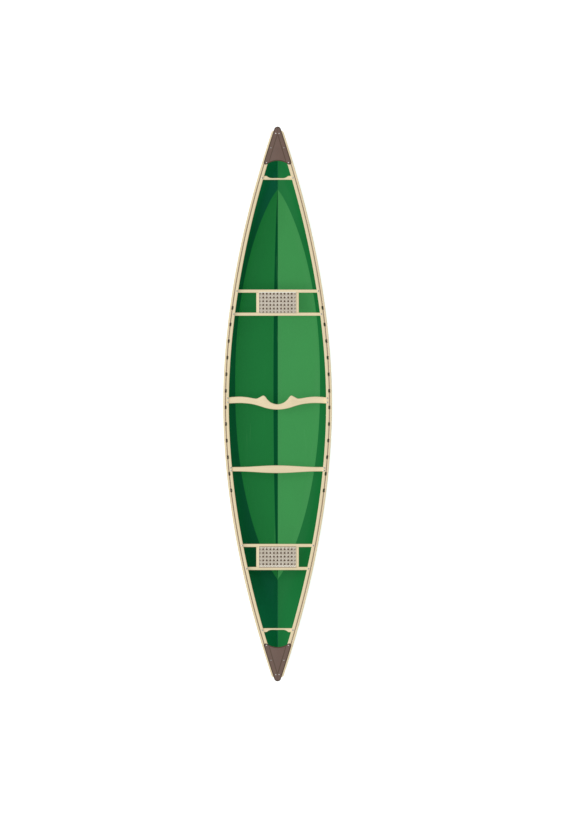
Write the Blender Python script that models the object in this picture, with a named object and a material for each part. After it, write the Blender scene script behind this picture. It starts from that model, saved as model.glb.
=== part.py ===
"""A sixteen foot tandem canoe: a moulded hull, ash gunwales and cross bars, and two caned seats.

Frame: +Y points to the bow, +X to starboard, +Z up. The origin is under the middle of the canoe, on
the surface that the keel rests on. All sizes are in metres.
"""
import math

import bmesh
import bpy
from mathutils import Matrix, Vector

# ------------------------------------------------------------------ overall
LENGTH = 4.877                      # over the deck noses
DEPTH_AMIDSHIPS = 0.368             # keel to the top of the hull's skin
DEPTH_RISE = 0.185                  # extra height of the sheer at the ends
SHEER_POWER = 3.2
ROCKER = 0.055                      # lift of the keel line at the forefoot
ROCKER_POWER = 4.0
TOUCH_GAP = 0.0003                  # air between neighbours that touch

# Plan outline of the outwales' outer faces: half-breadth = B (1 - |y / reach| ^ power) ^ tip power
PLAN_HALF_BREADTH = 0.4803
PLAN_REACH = 2.5525
PLAN_POWER = 1.9095
PLAN_TIP_POWER = 1.0269
NOSE_CENTRE = 2.4077                # centre of the round noses in plan
NOSE_EDGE_RADIUS = 0.0453           # nose radius that the outwale's outer face would have

# Plan outline of the bottom panel, inside the chines
FLOOR_HALF_WIDTH = 0.3749
FLOOR_CENTRE = 0.1743               # the panel sits forward of amidships
FLOOR_REACH = 1.7210
FLOOR_POWER = 2.2155
FLOOR_TIP_POWER = 0.8289

# ------------------------------------------------------------------ hull
SKIN = 0.008
STEM_HALF_WIDTH = 0.014             # of the keel where the bottom panel has ended
STEM_CORE = 0.004                   # half-width of the space inside the stem
FOREFOOT = 2.014                    # where the keel line turns up into the stem
STEM_POWER = 2.2
DEADRISE = 0.19                     # rise of the bottom panel per unit of half-width
KEEL_STRIP = 0.05                   # flat keel strip, as a part of the bottom's half-width
KEEL_CREASE = 0.09                  # edge of the keel's crease, likewise
KEEL_STEP = 0.030                   # depth of the crease, likewise
CHINE_LEG = 0.050                   # reach of the chine's rounding along bottom and side, amidships
CHINE_LEG_TAPER = 0.76              # part of that reach that is lost at the stems
CHINE_LEG_POWER = 8
FLARE_MIDDLE = 3.0                  # the sides flare at the chine and stand upright at the gunwale
FLARE_ENDS = 2.0                    # with finer, more open sections at the ends
FLARE_FADE = 6
RAIL_ROW = 0.030                    # depth of the upright band that the gunwale strips clamp
STATION_COUNT = 21                  # of each half, up to the nose
STATION_EVEN_SHARE = 0.75           # the rest of their spacing draws together towards the nose
NOSE_STATIONS = 4

# ------------------------------------------------------------------ gunwales
OUTWALE_WIDTH = 0.018
INWALE_WIDTH = 0.026
INWALE_OUTER = OUTWALE_WIDTH + SKIN
INWALE_INNER = INWALE_OUTER + INWALE_WIDTH
RAIL_PROUD = 0.0015                 # rails stand this much over the skin's rim
RAIL_DEPTH = 0.024
RAIL_BOTTOM = RAIL_PROUD - RAIL_DEPTH
OUTWALE_END = 2.403
INWALE_END = 2.392
INWALE_LEAN = 0.0010                # lean of the inwale's outboard face over its depth
SCUPPER_COUNT = 12
SCUPPER_FIRST = 0.8469
SCUPPER_PITCH = 0.1462
SCUPPER_HALF_LENGTH = 0.016
SCUPPER_DEPTH = 0.006
SCUPPER_ROUNDING = 0.6              # power of the slot's outline, 1 would be an ellipse
SCUPPER_MOUTH = 0.003               # the cutter starts this far outboard of the inwale's face
OUTWALE_EDGE = 0.004
INWALE_EDGE = 0.003

# ------------------------------------------------------------------ decks
DECK_EDGE = 0.0145                  # inboard of the outwale's outer face
DECK_PLATE = 0.004
DECK_CROWN = 0.008
DECK_CROWN_WIDTH = 0.62             # part of the half-width that the crown takes
DECK_REAR_APEX = 2.139
DECK_REAR_RADIUS = 0.164
DECK_CORNER = (0.104, 2.1244)       # centre of the rear corner's rounding
DECK_CORNER_RADIUS = 0.018
DECK_CORNER_START = 0.094
DECK_FADE = 0.120                   # length over which the rear edge's curve fades forward
DECK_COLUMNS = (0.0, 0.16, 0.33, 0.48, 0.62, 0.77)     # parts of the half-width, inside the corners
DECK_EDGE_COLUMNS = (0.93, 0.98, 1.0)                  # and outside them
SKIRT_START = 2.4045
SKIRT_DEPTH = 0.027
SKIRT_CLEARANCE = 0.0006            # air between the skirt and the hull
SKIRT_SET_BACK = 0.0002             # of its outer face from the deck's edge

# ------------------------------------------------------------------ cross bars
BAR_TOP = RAIL_BOTTOM - TOUCH_GAP   # over the sheer line
BAR_THICKNESS = 0.020
BAR_EDGE = 0.004                    # how far a bar's edges are eased
THIN_BAR_EDGE = 0.003
BAR_END_GAP = 0.0015
YOKE_FRONT = ((0.000, -0.002), (0.053, 0.0115), (0.088, 0.0396), (0.106, 0.0643), (0.123, 0.0748),
              (0.141, 0.0678), (0.176, 0.0502), (0.194, 0.0484), (0.264, 0.0599), (0.335, 0.0654),
              (0.445, 0.0580))
YOKE_REAR = ((0.000, -0.0498), (0.053, -0.0461), (0.106, -0.0350), (0.158, -0.0182), (0.211, -0.0040),
             (0.264, 0.0040), (0.335, 0.0079), (0.445, 0.0035))
YOKE_STATIONS = (0.028, 0.053, 0.072, 0.088, 0.098, 0.108, 0.116, 0.123, 0.131, 0.141, 0.156,
                 0.174, 0.194, 0.225, 0.264, 0.300, 0.335, 0.390)
YOKE_BOLTS = (0.051, 0.014)
THWART_CENTRE = -0.575
THWART_END_HALF_WIDTH = 0.020
THWART_SWELL = 0.0143
THWART_SWELL_REACH = 0.36
THWART_STATIONS = (0.050, 0.100, 0.150, 0.200, 0.250, 0.300, 0.360)
THWART_BOLTS = (THWART_CENTRE + 0.012, THWART_CENTRE - 0.012)
HANDLE_INBOARD = 1.9735
HANDLE_OUTBOARD = ((0.000, 1.9895), (0.055, 1.9895), (0.075, 1.9950), (0.095, 2.0075), (0.112, 2.0090),
                   (0.150, 2.0090))
HANDLE_STATIONS = (0.030, 0.055, 0.065, 0.075, 0.085, 0.095, 0.112)
HANDLE_THICKNESS = 0.016
HANDLE_BOLT = 1.9912

# ------------------------------------------------------------------ seats
SEAT_RAILS = {"bow_seat": (0.9954, 0.7922), "stern_seat": (-1.2473, -1.4503)}
SEAT_RAIL_HALF_WIDTH = 0.014
SEAT_DROP = {"bow_seat": 0.045, "stern_seat": 0.028}   # spacer length under the lower inwale
SIDE_BAR = (0.1505, 0.1875)
CANE_HALF_LENGTH = 0.1585
CANE_THICKNESS = 0.0025
SPLINE_WIDTH = 0.008
SPLINE_HEIGHT = 0.004
SPACER_RADIUS = 0.0095
SPACER_SIDES = 14
SIDE_BAR_EDGE = 0.0015
CANE_EDGE = 0.0008

# ------------------------------------------------------------------ fasteners
BOLT_RADIUS = 0.003
BOLT_HOLE_RADIUS = 0.0035
BOLT_HEAD = (0.007, 0.003)          # radius, height
BOLT_CROWN = (0.75, 0.5)            # where the head's slope starts, as parts of its radius and height
BOLT_HOLE_PAST = 0.02               # the drill runs on this far at both ends
WASHER = (0.008, 0.0015)
NUT = (0.006, 0.005)
BOLT_INBOARD = 0.0405               # bolts stand this far inboard of the outwale's outer face
BOLT_SIDES = 10
SCREW_RADIUS = 0.002
SCREW_HOLE_RADIUS = 0.0025
SCREW_HEAD = (0.005, 0.0025)
SCREW_CROWN = (0.6, 0.4)
SCREW_HOLE_PAST = (0.001, 0.006)    # the drill runs on this far below the tip and above the deck
SCREW_LENGTH = 0.016
SCREW_HEAD_LIFT = 0.0007            # the washer of air under a screw's head on the crowned deck
SCREW_SIDES = 8
DECK_SCREWS = (2.123, 2.3795)       # the pairs in the rear corners and at the tip


# ================================================================== curves of the canoe
def sheer(y):
    """Height of the hull's rim."""
    return DEPTH_AMIDSHIPS + DEPTH_RISE * abs(2 * y / LENGTH) ** SHEER_POWER


def sheer_slope(y):
    """Rise of the rim per unit of +Y."""
    rise = DEPTH_RISE * SHEER_POWER * abs(2 * y / LENGTH) ** (SHEER_POWER - 1) * 2 / LENGTH
    return math.copysign(rise, y)


def plan_edge(y):
    """Half-breadth over the outwales."""
    return PLAN_HALF_BREADTH * (1 - abs(y / PLAN_REACH) ** PLAN_POWER) ** PLAN_TIP_POWER


def plan_angle(y):
    """Angle between the outwale and the centreline."""
    ratio = abs(y) / PLAN_REACH
    slope = (PLAN_HALF_BREADTH * PLAN_TIP_POWER * (1 - ratio ** PLAN_POWER) ** (PLAN_TIP_POWER - 1)
             * PLAN_POWER * ratio ** (PLAN_POWER - 1) / PLAN_REACH)
    return math.atan(slope)


def inboard(y, distance):
    """Half-breadth of the line that runs a distance inboard of the outwale's outer face."""
    return plan_edge(y) - distance / math.cos(plan_angle(y))


def nose_radius(distance):
    """Radius in which the line at that distance rounds the nose."""
    return NOSE_EDGE_RADIUS - distance


def nose_start(distance):
    """The y where the line at that distance turns into its nose."""
    return NOSE_CENTRE + nose_radius(distance) * math.sin(plan_angle(NOSE_CENTRE))


def half_breadth(y, distance):
    """As inboard(), and rounded at the noses."""
    if abs(y) <= nose_start(distance):
        return inboard(y, distance)
    forward = abs(y) - NOSE_CENTRE
    return math.sqrt(max(nose_radius(distance) ** 2 - forward ** 2, 0.0))


def nose_ys(distance, first, steps):
    """The y values that step round the nose, from first (an angle) to the tip."""
    radius = nose_radius(distance)
    angles = [first + (math.pi / 2 - first) * step / steps for step in range(1, steps + 1)]
    return [NOSE_CENTRE + radius * math.sin(angle) for angle in angles]


def floor_half_width(y):
    """Half-width of the bottom between the chines, never less than the keel's at the stem."""
    ratio = min(abs((y - FLOOR_CENTRE) / FLOOR_REACH), 1.0)
    panel = FLOOR_HALF_WIDTH * (1 - ratio ** FLOOR_POWER) ** FLOOR_TIP_POWER
    return math.hypot(panel, STEM_HALF_WIDTH)


def smooth_curve(points, x):
    """A smooth curve through the points, level at the first one, read at x."""
    for index in range(len(points) - 1):
        if x <= points[index + 1][0]:
            break
    (x0, y0), (x1, y1) = points[index], points[index + 1]
    before = points[index - 1] if index else (-x1, y1)
    after = points[index + 2] if index + 2 < len(points) else points[index + 1]
    span = x1 - x0
    slope0 = (y1 - before[1]) / (x1 - before[0])
    slope1 = (after[1] - y0) / (after[0] - x0)
    t = (x - x0) / span
    return ((2 * t**3 - 3 * t**2 + 1) * y0 + (t**3 - 2 * t**2 + t) * span * slope0
            + (3 * t**2 - 2 * t**3) * y1 + (t**3 - t**2) * span * slope1)


# ================================================================== hull surface
class HullFrame:
    """The cross section of the hull at one station, from -1 at the stern to 1 at the bow."""

    def __init__(self, station, inset):
        self.station = station
        self.inset = inset
        gunwale = OUTWALE_WIDTH + inset
        top_y = station * (NOSE_CENTRE + nose_radius(gunwale))
        foot_y = station * (FOREFOOT - inset)
        self.breadth = half_breadth(top_y, gunwale)
        nose = self.breadth / inboard(top_y, gunwale)
        self.chine = max(floor_half_width(foot_y) - inset, STEM_CORE) * nose
        self.keel_z = ROCKER * abs(station) ** ROCKER_POWER + inset
        self.chine_z = self.keel_z + self.chine * (KEEL_STEP + DEADRISE)
        self.top_z = sheer(top_y)
        self.flare = FLARE_MIDDLE + (FLARE_ENDS - FLARE_MIDDLE) * abs(station) ** FLARE_FADE
        self.leg = CHINE_LEG * (1 - CHINE_LEG_TAPER * abs(station) ** CHINE_LEG_POWER)

    def reach(self, height):
        """Distance from amidships to the stem, at a height from 0 at the chine to 1 at the rim."""
        tip = NOSE_CENTRE + nose_radius(OUTWALE_WIDTH)
        stem = (1 - max(1 - height, 0.0) ** STEM_POWER) ** (1 / STEM_POWER)
        return FOREFOOT + (tip - FOREFOOT) * stem - self.inset

    def bottom(self, part):
        """Point of the bottom, from 0 on the centreline to 1 at the chine."""
        crease_rise = KEEL_STEP + DEADRISE * KEEL_CREASE
        strip = 0.0 if self.inset else KEEL_STRIP
        if part > KEEL_CREASE:
            rise = KEEL_STEP + DEADRISE * part
        else:
            rise = crease_rise * max(part - strip, 0.0) / (KEEL_CREASE - strip)
        return Vector((self.chine * part, self.station * self.reach(0.0), self.keel_z + self.chine * rise))

    def side(self, height):
        """Point of the side, from 0 at the chine to 1 at the rim."""
        flare = 1 - max(1 - height, 0.0) ** self.flare
        return Vector((self.chine + (self.breadth - self.chine) * flare,
                       self.station * self.reach(height),
                       self.chine_z + (self.top_z - self.chine_z) * height))

    def rounding_ends(self):
        """Where the chine's rounding leaves the bottom and joins the side."""
        bottom_part = 1 - min(self.leg / max(self.chine, self.leg * 2), 0.5)
        return bottom_part, self.leg / (self.top_z - self.chine_z)

    def rounding(self, t):
        """Point of the chine's rounding, from 0 on the bottom to 1 on the side."""
        bottom_part, side_height = self.rounding_ends()
        start, corner, end = self.bottom(bottom_part), self.bottom(1.0), self.side(side_height)
        return start * (1 - t) ** 2 + corner * 2 * t * (1 - t) + end * t**2


def hull_half_section(frame, bottom_rows, rounding_rows, side_rows):
    """Points of one side of the section, from the keel to the rim."""
    bottom_part, side_height = frame.rounding_ends()
    points = [frame.bottom(part) for part in (0.0, KEEL_STRIP, KEEL_CREASE)]
    for row in range(1, bottom_rows):
        points.append(frame.bottom(KEEL_CREASE + (bottom_part - KEEL_CREASE) * row / bottom_rows))
    points += [frame.rounding(row / rounding_rows) for row in range(rounding_rows + 1)]
    behind_rails = 1 - RAIL_ROW / (frame.top_z - frame.chine_z)
    for row in range(1, side_rows):
        points.append(frame.side(side_height + (behind_rails - side_height) * row / (side_rows - 1)))
    return points + [frame.side(1.0)]


def hull_x(y, z, inset):
    """Half-breadth of the hull's side at a point that lies above the chine."""
    station = y / LENGTH * 2
    for _ in range(12):
        frame = HullFrame(max(-1.0, min(1.0, station)), inset)
        height = (z - frame.chine_z) / (frame.top_z - frame.chine_z)
        height = max(0.0, min(1.0, height))
        station = y / frame.reach(height)
    return frame.side(height).x


def hull_stations():
    """Stations from stern to bow, closer together at the noses."""
    tip = NOSE_CENTRE + nose_radius(OUTWALE_WIDTH)
    first = nose_start(OUTWALE_WIDTH) / tip
    half = []
    for step in range(STATION_COUNT + 1):
        even = step / STATION_COUNT
        drawn = math.sin(math.pi / 2 * even)
        half.append(first * (STATION_EVEN_SHARE * even + (1 - STATION_EVEN_SHARE) * drawn))
    half += [y / tip for y in nose_ys(OUTWALE_WIDTH, plan_angle(NOSE_CENTRE), NOSE_STATIONS)]
    return [-station for station in reversed(half[1:])] + half


# ================================================================== mesh helpers
def srgb(red, green, blue):
    """Linear colour from display values of 0 to 255."""
    channels = [value / 255 for value in (red, green, blue)]
    return [c / 12.92 if c <= 0.04045 else ((c + 0.055) / 1.055) ** 2.4 for c in channels] + [1.0]


def material(name, colour, roughness, metallic=0.0):
    made = bpy.data.materials.new(name)
    made.use_nodes = True
    shader = made.node_tree.nodes["Principled BSDF"]
    shader.inputs["Base Color"].default_value = colour
    shader.inputs["Roughness"].default_value = roughness
    shader.inputs["Metallic"].default_value = metallic
    made.diffuse_color = colour
    return made


def finish_object(name, mesh_data, surface, smooth_angle=35):
    """Turn a bmesh into an object with its material, faces pointing out."""
    bmesh.ops.remove_doubles(mesh_data, verts=mesh_data.verts, dist=1e-5)
    bmesh.ops.recalc_face_normals(mesh_data, faces=mesh_data.faces)
    mesh = bpy.data.meshes.new(name)
    mesh_data.to_mesh(mesh)
    mesh_data.free()
    mesh.shade_smooth()
    mesh.set_sharp_from_angle(angle=math.radians(smooth_angle))
    mesh.materials.append(surface)
    made = bpy.data.objects.new(name, mesh)
    bpy.context.scene.collection.objects.link(made)
    return made


def add_loft(mesh_data, sections, capped=True):
    """Skin a row of closed sections that have the same number of points."""
    rings = [[mesh_data.verts.new(point) for point in section] for section in sections]
    size = len(rings[0])
    for near, far in zip(rings, rings[1:]):
        for index in range(size):
            following = (index + 1) % size
            mesh_data.faces.new((near[index], near[following], far[following], far[index]))
    if capped:
        mesh_data.faces.new(rings[0])
        mesh_data.faces.new(list(reversed(rings[-1])))


def loft(name, sections, surface, smooth_angle=35):
    mesh_data = bmesh.new()
    add_loft(mesh_data, sections)
    return finish_object(name, mesh_data, surface, smooth_angle)


def ring_of(radius, z, sides):
    angles = [2 * math.pi * (index + 0.5) / sides for index in range(sides)]
    return [Vector((radius * math.cos(angle), radius * math.sin(angle), z)) for angle in angles]


def turned(name, profile, sides, placement, surface):
    """A solid of revolution about a placed Z axis. The profile holds (radius, z)."""
    sections = [ring_of(radius, z, sides) for radius, z in profile]
    made = loft(name, sections, surface)
    made.matrix_world = placement
    return made


def guide(made):
    """Mark an object as a cutter."""
    made.hide_render = True
    made.display_type = "WIRE"
    return made


def cutter(name, prisms, surface):
    """One cutter of several separate prisms. Each is a pair of end sections."""
    mesh_data = bmesh.new()
    for sections in prisms:
        add_loft(mesh_data, sections)
    return guide(finish_object(name, mesh_data, surface))


def combine(piece, other, operation):
    """Boolean with another object, which stays as a hidden guide."""
    step = piece.modifiers.new(f"{operation.lower()}_{other.name}", "BOOLEAN")
    step.operation = operation
    step.solver = "EXACT"
    step.object = other


def drill(radius, z_low, z_high, placement, sides=BOLT_SIDES):
    """The prism of a round hole about a placed Z axis."""
    return [[placement @ point for point in ring_of(radius, z, sides)] for z in (z_low, z_high)]


# ================================================================== hull and gunwales
def make_hull(surface):
    """One moulded skin, rounded at both noses, with a crease along the keel inside and a strip outside."""
    sections = []
    for station in hull_stations():
        section = []
        for inset in (0.0, SKIN):
            half = hull_half_section(HullFrame(station, inset), 2, 3, 5)
            mirrored = [Vector((-point.x, point.y, point.z)) for point in half[1:]]
            whole = list(reversed(half)) + mirrored
            section += whole if inset == 0.0 else list(reversed(whole))
        sections.append(section)
    mesh_data = bmesh.new()
    add_loft(mesh_data, sections, capped=False)
    return finish_object("hull_shell", mesh_data, surface, 60)


def rail_ys(end, rounding):
    """The y values of a gunwale strip's sections, at the hull's own stations."""
    tip = NOSE_CENTRE + nose_radius(OUTWALE_WIDTH)
    ys = [station * tip for station in hull_stations()]
    ys = [y for y in ys if abs(y) < end - rounding - 0.01]
    close = [end - rounding + rounding * step for step in (0.0, 0.5, 0.85, 1.0)] if rounding else [end]
    return [-y for y in reversed(close)] + ys + close


def gunwale_strip(name, side, profile, end, rounding, surface):
    """A strip along the gunwale. The profile holds (distance inboard, height over the sheer)."""
    sections = []
    for y in rail_ys(end, rounding):
        past = max(abs(y) - (end - rounding), 0.0)
        cut = rounding - math.sqrt(max(rounding**2 - past**2, 0.0))
        section = []
        for distance, height in profile:
            x = max(inboard(y, max(distance, cut)), TOUCH_GAP)
            section.append(Vector((side * x, y, sheer(y) + height)))
        sections.append(section)
    return loft(name, sections, surface)


def make_outwale(name, side, surface):
    inner = OUTWALE_WIDTH - TOUCH_GAP
    edge = OUTWALE_EDGE
    profile = ((inner, RAIL_BOTTOM), (inner, RAIL_PROUD), (edge, RAIL_PROUD),
               (0.0, RAIL_PROUD - edge), (0.0, RAIL_BOTTOM + edge), (edge, RAIL_BOTTOM))
    return gunwale_strip(name, side, profile, OUTWALE_END, OUTWALE_WIDTH - 0.002, surface)


def make_inwale(name, side, surface):
    """The outboard face leans in a little, as the hull's skin does."""
    edge = INWALE_EDGE
    profile = ((INWALE_OUTER + TOUCH_GAP, RAIL_PROUD), (INWALE_OUTER + TOUCH_GAP + INWALE_LEAN, RAIL_BOTTOM),
               (INWALE_INNER - edge, RAIL_BOTTOM), (INWALE_INNER, RAIL_BOTTOM + edge),
               (INWALE_INNER, RAIL_PROUD - edge), (INWALE_INNER - edge, RAIL_PROUD))
    return gunwale_strip(name, side, profile, INWALE_END, 0.0, surface)


def scupper_prisms(side):
    """Drain slots in the inwale's outboard face, with rounded inner corners."""
    prisms = []
    for index in range(SCUPPER_COUNT):
        y = SCUPPER_FIRST - SCUPPER_PITCH * index
        turn = math.copysign(plan_angle(y), -y)
        along = Vector((side * math.sin(turn), math.cos(turn), 0.0))
        inward = Vector((-side * math.cos(turn), math.sin(turn), 0.0))
        mouth = Vector((side * inboard(y, INWALE_OUTER), y, sheer(y)))
        outline = [(SCUPPER_HALF_LENGTH, -SCUPPER_MOUTH)]
        for step in range(9):
            angle = math.pi * step / 8
            cosine, sine = math.cos(angle), math.sin(angle)
            outline.append((SCUPPER_HALF_LENGTH * math.copysign(abs(cosine) ** SCUPPER_ROUNDING, cosine),
                            SCUPPER_DEPTH * max(sine, 0.0) ** SCUPPER_ROUNDING))
        outline.append((-SCUPPER_HALF_LENGTH, -SCUPPER_MOUTH))
        sections = []
        for z in (RAIL_BOTTOM - SCUPPER_MOUTH, RAIL_PROUD + SCUPPER_MOUTH):
            sections.append([mouth + along * t + inward * n + Vector((0, 0, z)) for t, n in outline])
        prisms.append(sections)
    return prisms


# ================================================================== decks
def deck_rear_edge(x):
    """The y of the deck's rear edge: a hollow arc between rounded corners."""
    x = abs(x)
    if x <= DECK_CORNER_START:
        return DECK_REAR_APEX - DECK_REAR_RADIUS + math.sqrt(DECK_REAR_RADIUS**2 - x**2)
    across = min(abs(x - DECK_CORNER[0]), DECK_CORNER_RADIUS)
    return DECK_CORNER[1] - math.sqrt(DECK_CORNER_RADIUS**2 - across**2)


def deck_rear_width():
    return half_breadth(DECK_CORNER[1], DECK_EDGE)


def deck_crown(across, width):
    """Height of the raised middle over the flat flange. across runs from -1 to 1."""
    swell = max(1 - (across / DECK_CROWN_WIDTH) ** 2, 0.0)
    return DECK_CROWN * swell**2 * (width / deck_rear_width()) ** 2


def deck_underside(y):
    return sheer(y) + RAIL_PROUD + TOUCH_GAP


def make_deck(name, end, surface):
    """A moulded cap over the gunwales, with a skirt round the nose. end is 1 at the bow, -1 at the stern."""
    rear_y = DECK_CORNER[1]
    rear_width = deck_rear_width()
    nose_y = nose_start(DECK_EDGE)
    row_count = 9
    ys = [rear_y + (nose_y - rear_y) * row / row_count for row in range(row_count + 1)]
    ys += nose_ys(DECK_EDGE, plan_angle(NOSE_CENTRE), 5)
    half = list(DECK_COLUMNS) + [DECK_CORNER[0] / rear_width] + list(DECK_EDGE_COLUMNS)
    across = [-part for part in reversed(half[1:])] + half
    sections = []
    for y_side in ys:
        width = half_breadth(y_side, DECK_EDGE)
        fade = max(1 - (y_side - rear_y) / DECK_FADE, 0.0) ** 1.5
        top = []
        for part in across:
            y = y_side + (deck_rear_edge(part * rear_width) - rear_y) * fade
            z = deck_underside(y) + deck_crown(part, width)
            top.append(Vector((part * width, end * y, z)))
        under = list(reversed(top))
        raised = [point + Vector((0, 0, DECK_PLATE)) for point in top]
        sections.append(raised + under)
    mesh_data = bmesh.new()
    add_loft(mesh_data, sections[:-1])
    plate = finish_object(name, mesh_data, surface, 40)
    combine(plate, make_deck_skirt(f"{name}_skirt", end, surface), "UNION")
    return plate


def make_deck_skirt(name, end, surface):
    """The wall that hangs from the deck round the hull's nose."""
    outer_angle = math.asin((SKIRT_START - NOSE_CENTRE) / nose_radius(DECK_EDGE))
    steps = 6
    sections = []
    for step in range(-steps, steps + 1):
        angle = math.pi / 2 - (math.pi / 2 - outer_angle) * abs(step) / steps
        pair = []
        for distance in (DECK_EDGE + SKIRT_SET_BACK, OUTWALE_WIDTH - SKIRT_CLEARANCE):
            y = NOSE_CENTRE + nose_radius(distance) * math.sin(angle)
            x = math.copysign(half_breadth(y, distance), step) if step else 0.0
            pair.append(Vector((x, end * y, deck_underside(y))))
        drop = Vector((0, 0, -SKIRT_DEPTH))
        into_plate = Vector((0, 0, DECK_PLATE / 2))
        outer, inner = pair
        sections.append([outer + into_plate, outer + drop, inner + drop, inner + into_plate])
    return guide(loft(name, sections, surface))


# ================================================================== cross bars
def bar_section(x, rear, front, top_of, thickness, edge):
    """A rounded rectangle across a bar, as (x, y, z) points. top_of gives the top's height at a y."""
    low, high = edge, thickness - edge
    corners = ((rear, low), (rear + edge, 0.0), (front - edge, 0.0), (front, low),
               (front, high), (front - edge, thickness), (rear + edge, thickness), (rear, high))
    return [Vector((x, y, top_of(y) - thickness + rise)) for y, rise in corners]


def cross_bar(name, stations, edges_at, top_of, thickness, surface, edge=BAR_EDGE):
    """A bar from side to side, its ends cut to the hull. edges_at gives (rear y, front y) at an x."""
    half = []
    for x in (0.0,) + tuple(stations):
        rear, front = sorted(edges_at(x))
        half.append(bar_section(x, rear, front, top_of, thickness, edge))
    middle = (rear + front) / 2
    rear, front = sorted(edges_at(hull_x(middle, top_of(middle), SKIN)))
    end = bar_section(0.0, rear, front, top_of, thickness, edge)
    half.append([Vector((hull_x(point.y, point.z, SKIN) - BAR_END_GAP, point.y, point.z)) for point in end])
    mirrored = [[Vector((-point.x, point.y, point.z)) for point in section] for section in half[1:]]
    return loft(name, list(reversed(mirrored)) + half, surface)


def under_gunwale(y):
    """Top of a bar that bolts up under the inwales."""
    return sheer(y) + BAR_TOP


def yoke_edges(x):
    return smooth_curve(YOKE_REAR, x), smooth_curve(YOKE_FRONT, x)


def thwart_edges(x):
    swell = THWART_SWELL * (0.5 + 0.5 * math.cos(math.pi * min(x / THWART_SWELL_REACH, 1.0)))
    return THWART_CENTRE - THWART_END_HALF_WIDTH - swell, THWART_CENTRE + THWART_END_HALF_WIDTH + swell


def handle_edges(end):
    return lambda x: (end * HANDLE_INBOARD, end * smooth_curve(HANDLE_OUTBOARD, min(x, 0.150)))


# ================================================================== seats
def seat_top(seat):
    """The seat is level, and hangs from the lower of its two stretches of inwale."""
    return min(under_gunwale(y) for y in SEAT_RAILS[seat]) - SEAT_DROP[seat]


def make_box(name, low, high, surface, edge=SIDE_BAR_EDGE):
    """A bar along Y with eased edges between two corners."""
    (x0, y0, z0), (x1, y1, z1) = low, high
    outline = ((x0, z0 + edge), (x0 + edge, z0), (x1 - edge, z0), (x1, z0 + edge),
               (x1, z1 - edge), (x1 - edge, z1), (x0 + edge, z1), (x0, z1 - edge))
    return loft(name, [[Vector((x, y, z)) for x, z in outline] for y in (y0, y1)], surface)


def make_spline(name, inner, width, z_low, z_high, centre_y, surface):
    """The closed strip that wedges the cane's edge into the frame."""
    sections = []
    corners = ((1, 1), (-1, 1), (-1, -1), (1, -1))
    for sign_x, sign_y in corners + corners[:1]:
        section = []
        for grow, z in ((0.0, z_low), (width, z_low), (width, z_high), (0.0, z_high)):
            section.append(Vector((sign_x * (inner[0] + grow), centre_y + sign_y * (inner[1] + grow), z)))
        sections.append(section)
    mesh_data = bmesh.new()
    add_loft(mesh_data, sections, capped=False)
    return finish_object(name, mesh_data, surface)


def make_seat(name, rails, wood, cane, spline):
    """Two rails across the canoe, two side bars between them, and the cane sheet with its spline."""
    top = seat_top(name)
    front, rear = rails
    made = {}
    for part, y in (("front_rail", front), ("rear_rail", rear)):
        edges = (y - SEAT_RAIL_HALF_WIDTH, y + SEAT_RAIL_HALF_WIDTH)
        made[part] = cross_bar(f"{name}_{part}", (), lambda x, edges=edges: edges, lambda y: top,
                               BAR_THICKNESS, wood, THIN_BAR_EDGE)
    middle = (front + rear) / 2
    half_gap = (front - rear) / 2 - SEAT_RAIL_HALF_WIDTH - TOUCH_GAP
    for side, word in ((-1, "port"), (1, "starboard")):
        x_low, x_high = sorted((side * SIDE_BAR[0], side * SIDE_BAR[1]))
        make_box(f"{name}_{word}_side_bar", (x_low, middle - half_gap, top - BAR_THICKNESS),
                 (x_high, middle + half_gap, top), wood)
    rest = top + TOUCH_GAP
    make_box(f"{name}_cane", (-CANE_HALF_LENGTH, middle - half_gap, rest),
             (CANE_HALF_LENGTH, middle + half_gap, rest + CANE_THICKNESS), cane, CANE_EDGE)
    inner = (CANE_HALF_LENGTH + TOUCH_GAP, half_gap + TOUCH_GAP)
    make_spline(f"{name}_spline", inner, SPLINE_WIDTH, rest, rest + SPLINE_HEIGHT, middle, spline)
    return made


# ================================================================== fasteners
def rail_top_placement(x, y, height, tilted):
    """Stand a fastener over a point of the rail, square to the sheer when tilted."""
    turn = math.atan(sheer_slope(y)) if tilted else 0.0
    return Matrix.Translation((x, y, sheer(y) + height)) @ Matrix.Rotation(turn, 4, "X")


def make_bolt(name, placement, grip, lift, surface):
    """Bolt with its washer and nut. Grip is the thickness that it clamps, from the rail's top down."""
    head_radius, head_height = BOLT_HEAD
    head = TOUCH_GAP + lift
    under = -grip - TOUCH_GAP
    profile = ((head_radius * BOLT_CROWN[0], head + head_height),
               (head_radius, head + head_height * BOLT_CROWN[1]),
               (head_radius, head), (BOLT_RADIUS, head), (BOLT_RADIUS, under), (WASHER[0], under),
               (WASHER[0], under - WASHER[1]), (NUT[0], under - WASHER[1]),
               (NUT[0], under - WASHER[1] - NUT[1]))
    return turned(name, profile, BOLT_SIDES, placement, surface)


def make_screw(name, placement, surface):
    head_radius, head_height = SCREW_HEAD
    profile = ((head_radius * SCREW_CROWN[0], head_height), (head_radius, head_height * SCREW_CROWN[1]),
               (head_radius, 0.0), (SCREW_RADIUS, 0.0), (SCREW_RADIUS, -SCREW_LENGTH))
    return turned(name, profile, SCREW_SIDES, placement, surface)


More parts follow.
